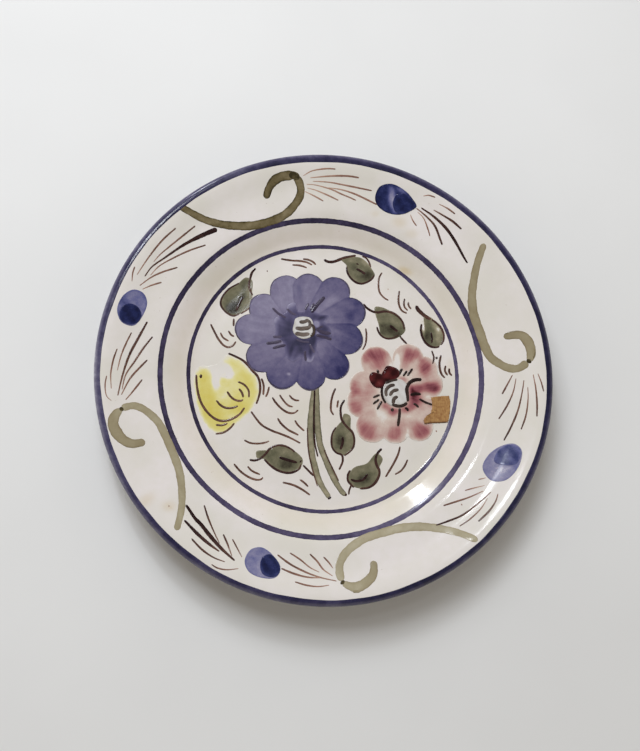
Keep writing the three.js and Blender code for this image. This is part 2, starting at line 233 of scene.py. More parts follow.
# Width of a stroke along its length, as a share of its full width.
LINER = [0.8, 1, 1, 1, 0.75]
PRESSED = [0.45, 0.65, 0.85, 1, 1, 0.75]
FLARED = [0.3, 0.4, 0.5, 0.65, 0.9, 1.25, 1.3]
SWELLING = [0.45, 0.75, 1, 1, 0.85, 0.6]
EVEN = [1, 1]


def ribbon(
    points, width, pigment=0.85, shape=LINER, relief=0.07, fade=0.12,
    seed=1, closed=False, lift=0.0, pooled=0.08,
):
    """One brush stroke: a low dome of enamel with round ends, its pigment pooled along its sides."""
    line = smooth_line(points, closed=closed)
    n = len(line)
    t = np.linspace(0, 1, n)
    length = np.hypot(*np.diff(line, axis=0).T).sum()
    if closed:
        tangent = np.roll(line, -1, 0) - np.roll(line, 1, 0)
        ends = np.ones(n)
    else:
        tangent = np.gradient(line, axis=0)
        half_width = max(width / 2, 0.2)
        near = np.minimum(t, 1 - t) * length / half_width
        ends = np.sqrt(np.clip(1 - (1 - np.minimum(near, 1)) ** 2, 0.004, 1))
    tangent /= np.hypot(*tangent.T)[:, None]
    normal = np.stack([tangent[:, 1], -tangent[:, 0]], -1)
    profile = np.interp(t, np.linspace(0, 1, len(shape)), shape)
    hand = 1 + SHAKE * ripple(t * length / SHAKE_WAVE, seed)
    half = width / 2 * profile * hand * ends
    column = ACROSS[None, :]
    x = line[:, :1] + normal[:, :1] * half[:, None] * column
    y = line[:, 1:] + normal[:, 1:] * half[:, None] * column
    height = lift + relief * ends[:, None] * (1 - column**2) - DIP * (np.abs(column) == 1)
    top = on_face(x, y, height)
    bottom = on_face(line[:, 0], line[:, 1], np.full(n, -SINK))[:, None, :]
    grid = np.concatenate([top, bottom], 1)
    columns = grid.shape[1]
    faces = wrap_faces(n, columns, closed, True)
    if not closed:
        faces.append(tuple(range(columns))[::-1])
        faces.append(tuple((n - 1) * columns + j for j in range(columns)))
    uneven = UNEVEN * ripple((t * length / UNEVEN_WAVE)[:, None] + 0.15 * column, seed + 3)
    paint = pigment + uneven + fade * (0.5 - t)[:, None] + pooled * column**4
    paint = np.concatenate([paint, paint[:, :1]], 1)
    return grid.reshape(-1, 3), faces, paint.ravel()


def blob(outline, paint, centre=None, rows=20, relief=0.06, lift=0.0, pooled=0.03):
    """A filled shape: paint(x, y, s) gives its pigment, and s runs from 0 in the middle to 1 at the edge."""
    outline = np.array(outline, float)
    centre = outline.mean(0) if centre is None else np.array(centre, float)
    n = len(outline)
    share = np.concatenate([np.linspace(0, 1, rows)[1:-1], [0.985, 1]])
    x = centre[0] + share[:, None] * (outline[:, 0] - centre[0])
    y = centre[1] + share[:, None] * (outline[:, 1] - centre[1])
    column = np.broadcast_to(share[:, None], x.shape)
    pigment = paint(x, y, column)
    height = lift + relief * (0.55 + 0.45 * np.clip(pigment, 0, 1)) + pooled * ease((column - 0.8) / 0.15)
    height = np.where(column == 1, -DIP, height)
    below = share[:-1][::-1][:: max(1, rows // 6)]
    bx = centre[0] + below[:, None] * (outline[:, 0] - centre[0])
    by = centre[1] + below[:, None] * (outline[:, 1] - centre[1])
    grid = np.concatenate([on_face(x, y, height), on_face(bx, by, np.full(bx.shape, -SINK))])
    total = grid.shape[0]
    faces = wrap_faces(total, n, False, True)
    cx, cy = (np.array([c]) for c in centre)
    middle = paint(cx, cy, np.zeros(1))
    poles = [on_face(cx, cy, np.full(1, lift + relief)), on_face(cx, cy, np.full(1, -SINK))]
    vertices = np.vstack([grid.reshape(-1, 3), *poles])
    for j in range(n):
        k = (j + 1) % n
        faces.append((total * n, k, j))
        faces.append((total * n + 1, (total - 1) * n + j, (total - 1) * n + k))
    pigments = np.concatenate([pigment.ravel(), np.full(bx.size, 0.5), middle, [0.5]])
    return vertices, faces, pigments


def petal_outline(centre, petals, disc, n=480):
    """Outline of round petals (x, y, radius) round a disc, seen from the flower's centre."""
    t = np.linspace(0, 2 * math.pi, n, endpoint=False)
    direction = np.stack([np.cos(t), np.sin(t)], -1)
    reach = np.full(n, float(disc))
    for x, y, radius in petals:
        to = np.array([x, y]) - centre
        along = direction @ to
        inside = radius**2 - (to @ to - along**2)
        reach = np.maximum(reach, np.where(inside > 0, along + np.sqrt(np.maximum(inside, 0)), 0))
    reach = reach + 0.12 * ripple(t * 4, 5)
    return centre + direction * reach[:, None]


def piece(name, parts, material, replaces=()):
    """One object of the plate, from its mesh parts."""
    vertices, faces, pigments = [], [], []
    for part_vertices, part_faces, part_pigments in parts:
        start = sum(len(v) for v in vertices)
        vertices.append(part_vertices)
        faces += [tuple(start + i for i in face) for face in part_faces]
        pigments.append(part_pigments)
    mesh = bpy.data.meshes.new(name)
    mesh.from_pydata((np.vstack(vertices) * MM).tolist(), [], faces)
    pigment = mesh.attributes.new("pigment", "FLOAT", "POINT")
    pigment.data.foreach_set("value", np.clip(np.concatenate(pigments), 0, 1).astype(np.float32))
    mesh.polygons.foreach_set("use_smooth", [True] * len(mesh.polygons))
    mesh.materials.append(material)
    mesh.update()
    obj = bpy.data.objects.new(name, mesh)
    bpy.context.scene.collection.objects.link(obj)
    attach(obj, "root")
    if replaces:
        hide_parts(*replaces)
    return obj


# ---- materials ----
LIGHT_LEVEL = 0.92  # how bright a level white surface comes out under this scene's lights
PHOTO_WHITE = (228, 215, 212)  # the pinkish cast of the photo's light on something white
VIVIDNESS = 1.12  # painted colours look duller against a pale floor than on the photo's dark cloth
LUMINANCE = (0.2126, 0.7152, 0.0722)


def linear(colour):
    channels = np.array(colour) / 255
    return np.where(channels <= 0.04045, channels / 12.92, ((channels + 0.055) / 1.055) ** 2.4)


def tone(r, g, b):
    """Surface colour for an sRGB colour seen in the photo, with the cast of the photo's light taken out."""
    white = linear(PHOTO_WHITE)
    balanced = linear((r, g, b)) * (white @ LUMINANCE) / white
    grey = balanced @ LUMINANCE
    vivid = grey + (balanced - grey) * VIVIDNESS
    return (*np.clip(vivid / LIGHT_LEVEL, 0, 1).tolist(), 1.0)


class Nodes:
    """Short names for building one material's node tree."""

    def __init__(self, tree):
        self.tree = tree

    def add(self, kind, values=None, **settings):
        node = self.tree.nodes.new(kind)
        for key, value in settings.items():
            setattr(node, key, value)
        for key, value in (values or {}).items():
            self.feed(node.inputs[key], value)
        return node

    def feed(self, socket, value):
        if isinstance(value, bpy.types.NodeSocket):
            self.tree.links.new(value, socket)
        else:
            socket.default_value = value

    def maths(self, operation, a, b=0.0):
        node = self.add("ShaderNodeMath", {0: a, 1: b}, operation=operation)
        return node.outputs[0]

    def noise(self, size, detail=2.0, seed=0.0):
        """Noise between 0 and 1, with features about `size` mm across."""
        place = self.add("ShaderNodeTexCoord").outputs["Object"]
        shifted = self.add("ShaderNodeMapping", {"Vector": place, "Location": (seed, seed * 0.7, seed * 0.3)})
        values = {"Vector": shifted.outputs[0], "Scale": 1 / (size * MM), "Detail": detail}
        return self.add("ShaderNodeTexNoise", values).outputs[0]

    def spread(self, value, low, high, to_low=0.0, to_high=1.0):
        values = {"Value": value, "From Min": low, "From Max": high, "To Min": to_low, "To Max": to_high}
        return self.add("ShaderNodeMapRange", values).outputs[0]

    def mix(self, factor, a, b, blend="MIX"):
        node = self.add("ShaderNodeMix", data_type="RGBA", blend_type=blend)
        self.feed(node.inputs["Factor"], factor)
        self.feed(node.inputs["A"], a)
        self.feed(node.inputs["B"], b)
        return node.outputs["Result"]

    def ramp(self, factor, stops):
        node = self.add("ShaderNodeValToRGB", {0: factor})
        while len(node.color_ramp.elements) < len(stops):
            node.color_ramp.elements.new(0.5)
        for element, (position, colour) in zip(node.color_ramp.elements, stops):
            element.position = position
            element.color = tone(*colour)
        return node.outputs["Color"]

    def bump(self, height, depth_mm, strength=1.0, normal=None):
        values = {"Height": height, "Distance": depth_mm * MM, "Strength": strength}
        if normal is not None:
            values["Normal"] = normal
        return self.add("ShaderNodeBump", values).outputs[0]


def new_material(name):
    material = bpy.data.materials.new(name)
    material.use_nodes = True
    nodes = Nodes(material.node_tree)
    return material, nodes, material.node_tree.nodes["Principled BSDF"]


def glaze_colour(nodes):
    """The warm white glaze, with cloudy tone, faint yellow stains and fine dark specks."""
    clouds = nodes.spread(nodes.noise(34, 3, 0.4), 0.35, 0.65)
    white = nodes.mix(clouds, tone(219, 202, 192), tone(229, 210, 205))
    fine = nodes.spread(nodes.noise(4.5, 4, 1.9), 0.3, 0.7, 0.0, 0.35)
    white = nodes.mix(fine, white, tone(217, 200, 188))
    specks = nodes.spread(nodes.noise(1.7, 1, 5.1), 0.775, 0.81, 0.0, 0.3)
    return nodes.mix(specks, white, tone(150, 120, 96))


def orange_peel(nodes):
    """The very slight unevenness of a glaze that has run smooth."""
    broad = nodes.bump(nodes.noise(16, 1, 2.2), 0.045)
    return nodes.bump(nodes.noise(2.6, 2, 3.3), 0.006, normal=broad)


def finish_glossy(nodes, shader, colour, roughness=0.12, normal=None):
    nodes.feed(shader.inputs["Base Color"], colour)
    uneven = nodes.spread(nodes.noise(7, 3, 8.8), 0.3, 0.7, roughness * 0.75, roughness * 1.5)
    nodes.feed(shader.inputs["Roughness"], uneven)
    nodes.feed(shader.inputs["Normal"], orange_peel(nodes) if normal is None else normal)
    shader.inputs["IOR"].default_value = 1.5


def make_glaze(name):
    material, nodes, shader = new_material(name)
    stain_and_shade = nodes.add("ShaderNodeAttribute", attribute_name="pigment").outputs["Fac"]
    # the pigment attribute carries real stains and, on the face, the painted shade round the cavetto
    colour = nodes.mix(stain_and_shade, glaze_colour(nodes), tone(196, 164, 120))
    finish_glossy(nodes, shader, colour, 0.09)
    return material


def make_enamel(name, stops, mottle=0.18, streak=0.1, roughness=0.13, thin=0.1):
    """Enamel whose colour follows the pigment painted into the mesh; where that is thin the glaze shows."""
    material, nodes, shader = new_material(name)
    pigment = nodes.add("ShaderNodeAttribute", attribute_name="pigment").outputs["Fac"]
    cloud = nodes.spread(nodes.noise(3.2, 3, 6.4), 0.25, 0.75, -mottle / 2, mottle / 2)
    grain = nodes.spread(nodes.noise(0.8, 2, 7.7), 0.25, 0.75, -streak / 2, streak / 2)
    varied = nodes.maths("ADD", nodes.maths("ADD", pigment, cloud), grain)
    cover = nodes.spread(varied, 0.02, 0.02 + thin)
    colour = nodes.mix(cover, glaze_colour(nodes), nodes.ramp(varied, stops))
    thickness = nodes.bump(varied, 0.02, 0.6, orange_peel(nodes))
    finish_glossy(nodes, shader, colour, roughness, thickness)
    return material


def make_clay():
    material, nodes, shader = new_material("bare_clay")
    body = nodes.mix(nodes.spread(nodes.noise(5, 4), 0.3, 0.7), tone(196, 158, 122), tone(214, 180, 146))
    sand = nodes.spread(nodes.noise(0.7, 3, 2.5), 0.6, 0.72, 0.0, 0.6)
    nodes.feed(shader.inputs["Base Color"], nodes.mix(sand, body, tone(150, 108, 78)))
    nodes.feed(shader.inputs["Roughness"], nodes.spread(nodes.noise(2, 3), 0.3, 0.7, 0.75, 0.95))
    nodes.feed(shader.inputs["Normal"], nodes.bump(nodes.noise(0.6, 4, 1.2), 0.08, 0.8))
    return material


def make_tape():
    material, nodes, shader = new_material("paper_tape")
    fibre = nodes.spread(nodes.noise(1.8, 5, 4.2), 0.34, 0.66)
    pigment = nodes.add("ShaderNodeAttribute", attribute_name="pigment").outputs["Fac"]
    ridges = {"Scale": 260.0, "Distortion": 5.0, "Detail": 3.0, "Detail Scale": 2.0}
    crepe = nodes.add("ShaderNodeTexWave", ridges)
    place = nodes.add("ShaderNodeTexCoord").outputs["Object"]
    nodes.feed(crepe.inputs["Vector"], place)
    paper = nodes.mix(fibre, tone(134, 88, 54), tone(170, 126, 84))
    paper = nodes.mix(nodes.maths("MULTIPLY", crepe.outputs["Fac"], 0.3), paper, tone(176, 130, 92))
    nodes.feed(shader.inputs["Base Color"], nodes.mix(pigment, paper, tone(74, 42, 24)))
    nodes.feed(shader.inputs["Roughness"], nodes.spread(fibre, 0, 1, 0.6, 0.8))
    nodes.feed(shader.inputs["Normal"], nodes.bump(crepe.outputs["Fac"], 0.06, 0.7))
    return material


BLUE_WASH = [
    (0.0, (214, 198, 196)), (0.2, (172, 158, 170)), (0.38, (145, 131, 148)), (0.55, (122, 109, 129)),
    (0.72, (98, 87, 112)), (0.88, (70, 63, 94)), (1.0, (46, 42, 76)),
]
HEART_WASH = [(0.12, (148, 135, 153)), (0.4, (106, 95, 119)), (0.7, (77, 68, 92)), (1.0, (52, 47, 66))]
RED_WASH = [
    (0.0, (222, 202, 190)), (0.18, (205, 176, 164)), (0.36, (187, 148, 139)), (0.55, (168, 114, 110)),
    (0.74, (143, 84, 87)), (0.9, (112, 58, 64)), (1.0, (72, 26, 30)),
]
YELLOW_WASH = [
    (0.0, (228, 210, 190)), (0.2, (224, 204, 156)), (0.4, (216, 194, 128)), (0.65, (208, 182, 104)),
    (1.0, (176, 146, 72)),
]
LEAF_WASH = [
    (0.0, (200, 182, 160)), (0.25, (152, 136, 114)), (0.45, (122, 110, 90)), (0.65, (98, 90, 72)),
    (0.85, (70, 62, 50)), (1.0, (40, 34, 24)),
]
SCROLL_WASH = [
    (0.0, (214, 196, 178)), (0.25, (186, 168, 146)), (0.5, (160, 142, 118)), (0.75, (138, 119, 94)),
    (0.9, (100, 84, 60)), (1.0, (56, 46, 30)),
]
BERRY_WASH = [
    (0.0, (206, 192, 194)), (0.2, (140, 129, 150)), (0.45, (96, 92, 128)), (0.65, (56, 57, 96)),
    (0.85, (32, 35, 70)),
    (1.0, (20, 21, 48)),
]
LINE_WASH = [
    (0.0, (200, 186, 190)), (0.25, (134, 122, 138)), (0.5, (98, 86, 108)), (0.75, (72, 61, 84)),
    (1.0, (44, 36, 54)),
]
BAND_WASH = [
    (0.0, (190, 178, 184)), (0.3, (112, 102, 118)), (0.55, (76, 68, 90)), (0.8, (48, 42, 66)),
    (1.0, (32, 29, 48)),
]
BROWN_LINE = [
    (0.0, (214, 190, 176)), (0.3, (178, 138, 120)), (0.5, (136, 98, 84)), (0.7, (96, 66, 56)),
    (0.85, (66, 42, 38)),
    (1.0, (38, 20, 20)),
]
BLACK_LINE = [(0.0, (200, 180, 170)), (0.35, (124, 106, 98)), (0.65, (72, 58, 52)), (1.0, (30, 16, 16))]
VIOLET_LINE = [(0.0, (160, 146, 160)), (0.5, (88, 76, 92)), (1.0, (48, 38, 52))]
WHITE_ENAMEL = [(0.0, (150, 134, 128)), (0.5, (196, 181, 174)), (1.0, (216, 202, 198))]
MAROON_GLOSS = [(0.0, (150, 92, 88)), (0.5, (88, 34, 34)), (1.0, (44, 12, 14))]

MATERIALS = {
    "clay": make_clay(),
    "glaze": make_glaze("white_glaze"),
    "band": make_enamel("edge_blue", BAND_WASH, 0.24),
    "line": make_enamel("line_blue", LINE_WASH, 0.24),
    "blue": make_enamel("petal_blue", BLUE_WASH, 0.12, 0.05),
    "heart": make_enamel("petal_blue_deep", HEART_WASH, 0.12, 0.05, thin=0.02),
    "red": make_enamel("petal_red", RED_WASH, 0.12, 0.05, thin=0.14),
    "maroon": make_enamel("petal_red_deep", MAROON_GLOSS, 0.3, 0.1, 0.07),
    "yellow": make_enamel("petal_yellow", YELLOW_WASH, 0.16, 0.06, thin=0.16),
    "leaf": make_enamel("leaf_green", LEAF_WASH, 0.24),
    "scroll": make_enamel("scroll_olive", SCROLL_WASH, 0.1, 0.05),
    "berry": make_enamel("berry_blue", BERRY_WASH, 0.2),
    "brown": make_enamel("sprig_brown", BROWN_LINE, 0.14),
    "black": make_enamel("dark_line", BLACK_LINE, 0.14),
    "violet": make_enamel("violet_line", VIOLET_LINE, 0.14),
    "white": make_enamel("eye_white", WHITE_ENAMEL, 0.2, 0.1),
    "tape": make_tape(),
}

# ---- thrown body and glaze ----
PROFILE_STEP = 1.0
BACK_START = 79.0  # radius on the face over the point where the back leaves the foot
LIP_ANGLES = range(0, 181, 6)
FOOT_FILLET = [(74.2, 4.0), (72.9, 3.6), (72.0, 3.0), (71.6, 2.3)]  # back to foot ring, radius and height


def radii(start, end):
    return np.linspace(start, end, max(2, int(abs(end - start) / PROFILE_STEP)))


def clay_profile():
    depth = GLAZE + 0.02
    face = [under_face(r, depth) for r in radii(0, LIP_CENTRE)]
    edge = [on_lip(a, depth) for a in LIP_ANGLES][1:-1]
    back = [over_back(r, depth) for r in radii(LIP_CENTRE, BACK_START)]
    fillet = [(r - depth, z + depth * 0.7) for r, z in FOOT_FILLET]
    foot = [
        (FOOT_OUTER - depth, BARE_FOOT), (FOOT_OUTER - 0.8, 0.4),
        (FOOT_OUTER - 1.4, 0.05), (FOOT_OUTER - 2.2, 0),
        (FOOT_INNER + 2.2, 0), (FOOT_INNER + 1.4, 0.05),
        (FOOT_INNER + 0.8, 0.4), (FOOT_INNER + depth, BARE_FOOT),
        (FOOT_INNER + depth, RECESS_Z + depth), (0, RECESS_Z + depth),
    ]
    return [*face, *edge, *back, *fillet, *foot][::-1]


def face_coat_profile():
    top = [under_face(r, 0) for r in radii(0, LIP_CENTRE)]
    bottom = [under_face(r, GLAZE) for r in radii(0, LIP_CENTRE)]
    return [*bottom, *top[::-1]]


def back_coat_profile():
    outer = [on_lip(a, 0) for a in LIP_ANGLES]
    outer += [over_back(r, 0) for r in radii(LIP_CENTRE, BACK_START)][1:]
    outer += [*FOOT_FILLET, (FOOT_OUTER, 1.8)]
    outer += [(FOOT_OUTER - 0.05, BARE_FOOT + 0.2), (FOOT_OUTER - 0.3, BARE_FOOT)]
    inner = [on_lip(a, GLAZE) for a in LIP_ANGLES]
    inner += [over_back(r, GLAZE) for r in radii(LIP_CENTRE, BACK_START)][1:]
    inner += [(r - GLAZE, z + GLAZE * 0.7) for r, z in FOOT_FILLET]
    inner += [(FOOT_OUTER - GLAZE, BARE_FOOT + 0.2)]
    return [*inner, *outer[::-1]]


def recess_coat_profile():
    corner = 0.9
    return [
        (0, RECESS_Z), (FOOT_INNER / 2, RECESS_Z), (FOOT_INNER - corner, RECESS_Z),
        (FOOT_INNER - 0.25, RECESS_Z - 0.25), (FOOT_INNER, RECESS_Z - corner), (FOOT_INNER, BARE_FOOT + 0.2),
        (FOOT_INNER + 0.3, BARE_FOOT), (FOOT_INNER + GLAZE, BARE_FOOT + 0.2),
        (FOOT_INNER + GLAZE, RECESS_Z + GLAZE), (0, RECESS_Z + GLAZE),
    ]


def ragged_wipe(points):
    """The line where the glaze was wiped off the foot isn't straight."""
    turn = np.arctan2(points[..., 1], points[..., 0]) / (2 * math.pi)
    low = np.clip((2 - points[..., 2]) / 1, 0, 1)
    points[..., 2] += low * 0.3 * ripple(turn * 9, 4)
    return points


# Faint stains in the face glaze: (x, y, half length, half width, turn, strength).
FACE_STAINS = [
    (-95, -71, 5, 3, 40, 0.3), (-83.5, -74, 4, 3, 0, 0.3), (-83.5, -74, 0.8, 0.8, 0, 0.7),
    (45, 61, 4.5, 2.2, -25, 0.5), (41, 87.5, 4.5, 3.5, 0, 0.3), (48, 81, 4, 3, 0, 0.2),
    (27, 92, 2.5, 2, 0, 0.2), (70, 6, 2.5, 4, 0, 0.2),
]


def stained_and_shaded(part):
    """Real stains in the glaze, plus painted shade: a darker, creamier ring round the cavetto; and a creamier
    tone in the middle of the well.
    """
    vertices, faces, _ = part
    x, y = vertices[:, 0], vertices[:, 1]
    radius = np.hypot(x, y)
    # painted shade round the cavetto (radius 80), and a creamier tone in the middle of the well
    painted_shade_and_cream = 0.16 * np.exp(-(((radius - 80) / 7) ** 2)) + 0.09 * np.exp(-((radius / 50) ** 2))
    return vertices, faces, patches(x, y, 0, FACE_STAINS) + painted_shade_and_cream


def band_edge(turn, by_quarter, seed, amount):
    """Radius where the painted edge band ends, from its radius to the right, top, left and bottom."""
    quarter = np.linspace(0, 2 * math.pi, 5)
    smooth = np.interp(turn, quarter, [*by_quarter, by_quarter[0]])
    return smooth + amount * ripple(turn / (2 * math.pi) * 11, seed)


BAND_START = 117.0  # radius, safely inside the band's wandering borders
BAND_ON_FACE = (121.0, 119.8, 121.4, 121.6)
BAND_ON_BACK = (120.4, 120.9, 120.2, 120.6)
BAND_FILM = 0.06


def one_sided(turn, middle, width):
    """Weight of a stretch of the band, 1 at its middle; both in radians."""
    return np.exp(-(((turn - middle) / width) ** 2))


def edge_band(turns=720):
    """Blue band over the lip, painted freehand so that its borders wander."""
    start, reach = BAND_START, LIP_CENTRE
    line = [under_face(r, 0) for r in np.linspace(start, reach, 24)]
    line += [on_lip(a, 0) for a in LIP_ANGLES][1:-1]
    line += [over_back(r, 0) for r in np.linspace(reach, start, 24)]
    line = np.array(line)
    step = np.gradient(line, axis=0)
    step /= np.hypot(*step.T)[:, None]
    outward = np.stack([-step[:, 1], step[:, 0]], -1)
    along = np.concatenate([[0], np.cumsum(np.hypot(*np.diff(line, axis=0).T))])
    turn = np.linspace(0, 2 * math.pi, turns, endpoint=False)
    face_border = band_edge(turn, BAND_ON_FACE, 2, 0.22)
    back_border = band_edge(turn, BAND_ON_BACK, 7, 0.5)
    first = face_border - start
    last = along[-1] - (back_border - start)
    share = np.concatenate([[0, 0.015], np.linspace(0.03, 0.97, 44), [0.985, 1]])
    distance = first[:, None] + (last - first)[:, None] * share
    lift = np.where((share == 0) | (share == 1), -DIP, BAND_FILM) + 0 * distance
    lift = np.concatenate([lift, np.full((turns, len(share) - 2), -SINK)], 1)
    distance = np.concatenate([distance, distance[:, 1:-1][:, ::-1]], 1)
    r, z, nr, nz = (np.interp(distance, along, v) for v in (*line.T, *outward.T))
    r, z = r + nr * lift, z + nz * lift
    x, y = r * np.cos(turn)[:, None], r * np.sin(turn)[:, None]
    points = np.stack([x, y, z + wobble(x, y)], -1)
    turned = turn / (2 * math.pi)
    wear_and_painted_light = 0.12 * ripple(turned * 5, 3)[:, None] + 0.08 * ripple(turned * 23, 9)[:, None]
    # painted light by side of the plate: the band is lighter on the left as a painted reflection, and darker
    # on the right and at the upper left as painted shade
    painted_light_by_side = 0.12 * np.cos(turn + 0.3)
    painted_light_by_side = painted_light_by_side + 0.14 * one_sided(turn, 2.3, 0.6) - 0.14 * one_sided(turn, 3.2, 0.7)
    wear_and_painted_light = wear_and_painted_light + painted_light_by_side[:, None]
    edge = np.concatenate([np.abs(share - 0.5) * 2, np.ones(len(share) - 2)])
    paint = 0.58 + wear_and_painted_light + 0.24 * ease((edge - 0.45) / 0.35) + 0 * distance
    return points.reshape(-1, 3), wrap_faces(turns, points.shape[1], True, True), paint.ravel()


piece("clay_foot_body", [revolve(clay_profile())], MATERIALS["clay"], ["clay_body"])
face_coat = stained_and_shaded(revolve(face_coat_profile()))
piece("glazed_face", [face_coat], MATERIALS["glaze"], ["face_glaze"])
back_coat = revolve(back_coat_profile(), change=ragged_wipe)
piece("glazed_back", [back_coat], MATERIALS["glaze"], ["back_glaze"])
recess_coat = revolve(recess_coat_profile(), change=ragged_wipe)
piece("glazed_foot_recess", [recess_coat], MATERIALS["glaze"], ["foot_recess_glaze"])
piece("blue_edge", [edge_band()], MATERIALS["band"], ["edge_band"])


# ---- lines round the well, put on with the plate turning ----


def wheel_line(centre, radius, width, seed, darkest):
    """A ring whose paint is heaviest towards one side, at `darkest` degrees."""
    turn = np.linspace(0, 2 * math.pi, 60, endpoint=False)
    wander = radius + 0.25 * ripple(turn / (2 * math.pi) * 3, seed)
    points = np.stack([centre[0] + wander * np.cos(turn), centre[1] + wander * np.sin(turn)], -1)
    core = ribbon(points, width, 0.78, EVEN, 0.02, 0.0, seed, closed=True, pooled=0.16)
    vertices, faces, pigment = core
    turned = np.arctan2(vertices[:, 1], vertices[:, 0]) / (2 * math.pi)
    heavy = 0.14 * np.cos(turned * 2 * math.pi - math.radians(darkest))
    return vertices, faces, pigment + heavy + 0.1 * ripple(turned * 6, seed + 2)


well_line = wheel_line((-1.2, -0.8), 74.7, 2.4, 3, 170)
piece("line_round_well", [well_line], MATERIALS["line"], ["inner_line"])
rim_line = wheel_line((-2.3, -0.9), 88.5, 3.0, 8, 140)
piece("line_round_rim", [rim_line], MATERIALS["line"], ["outer_line"])

# ---- brush strokes ----


def strokes(table, wider=1.0, paler=0.0, **common):
    """Ribbons from rows of (width, pigment, points), or (width, pigment, points, shape).

    `wider` multiplies every width, and `paler` is taken off every pigment.
    """
    lines = []
    for seed, (width, pigment, points, *shape) in enumerate(table):
        options = {"seed": seed, **common}
        if shape:
            options["shape"] = shape[0]
        lines.append(ribbon(points, width * wider, pigment - paler, **options))
    return lines


DARK_WIDER = 1.15  # the dark outline strokes of the flowers and leaves

# ---- blue flower ----
BLUE_WIDER = 1.12
BLUE_CENTRE = np.array([-13.4, 25.0])
BLUE_PETALS = [
    (-35, 36.8, 8.6), (-22.5, 47, 9.5), (-10, 48.5, 9.3), (4.5, 47.4, 9), (13.5, 35.8, 8.8),
    (11.5, 20.5, 9.1),
    (4.2, 5.4, 8.6), (-9, -0.9, 8.5), (-24.5, 0.1, 9.1), (-35.7, 9.2, 9.1), (-42.3, 24.6, 8.8),
]
BLUE_LOAD = 0.66  # pigment in the middle of a petal, all round
BLUE_SWING = 0.17  # how much more it is on the lower right, and less on the upper left
BLUE_HEAVY = math.radians(-40)  # direction of the heaviest petal from the flower's centre
BLUE_TIP = 0.04  # the tip is darker than the middle
BLUE_ROOT = 0.53
BLUE_SIDE = 0.03
BLUE_SHADES = [  # (x, y, half length, half width, turn, pigment added)
    (13, 33, 3, 4, 0, 0.14), (17, 39, 3, 5, 0, 0.08), (8.5, 1.5, 4, 4, 20, 0.14), (10, 41, 7, 2, -20, -0.1),
    (6, 24, 6, 2, -10, -0.1), (-4, 5, 2.5, 6, 0, -0.08), (2, 42, 6, 2.5, 40, -0.12),
    # the small patch at (-21, -0.3) takes pigment away as a painted highlight, a white glint on the petal
    (-21, -0.3, 1.1, 0.9, 0, -0.4),
    (-5.7, 28.8, 1.8, 2.6, 20, -0.35), (-6, 23, 1.2, 1.4, 0, -0.3), (-27, 40, 5, 4, 0, -0.05),
    (-47, 21, 2, 4, 0, 0.08), (-30, -4, 3, 3, 0, 0.1), (-15, 46, 2, 7, 10, 0.12),
]


def blue_petal_paint(x, y, s):
    """Each petal is one loaded brush stroke laid over the last, with the pigment pooled at its own edge."""
    paint = np.full(np.shape(x), 0.5)
    for k, (px, py, radius) in enumerate(BLUE_PETALS):
        away = np.array([px, py]) - BLUE_CENTRE
        reach = math.hypot(*away)
        ax, ay = away / reach
        along = (x - BLUE_CENTRE[0]) * ax + (y - BLUE_CENTRE[1]) * ay
        across = (y - BLUE_CENTRE[1]) * ax - (x - BLUE_CENTRE[0]) * ay
        share = np.clip(along / reach, 0, 1)
        inside = radius * (0.4 + 0.6 * share) - np.hypot(along - share * reach, across)
        middle = BLUE_LOAD + BLUE_SWING * math.cos(math.atan2(ay, ax) - BLUE_HEAVY)
        middle = middle + 0.03 * ripple(0.37 * k, 3)
        tones = [BLUE_ROOT, middle, middle + BLUE_TIP]
        own = np.interp((along - reach) / radius, [-1.7, -0.2, 0.9], tones)
        own = own + BLUE_SIDE * across / radius + 0.03 * ripple(across / 7 + along / 30, k)
        own = own + 0.12 * np.exp(-np.maximum(inside, 0) / 1.1)
        cover = ease(inside / 0.8 + 0.5)
        paint = paint * (1 - cover) + own * cover
    return patches(x, y, 0, BLUE_SHADES) + paint


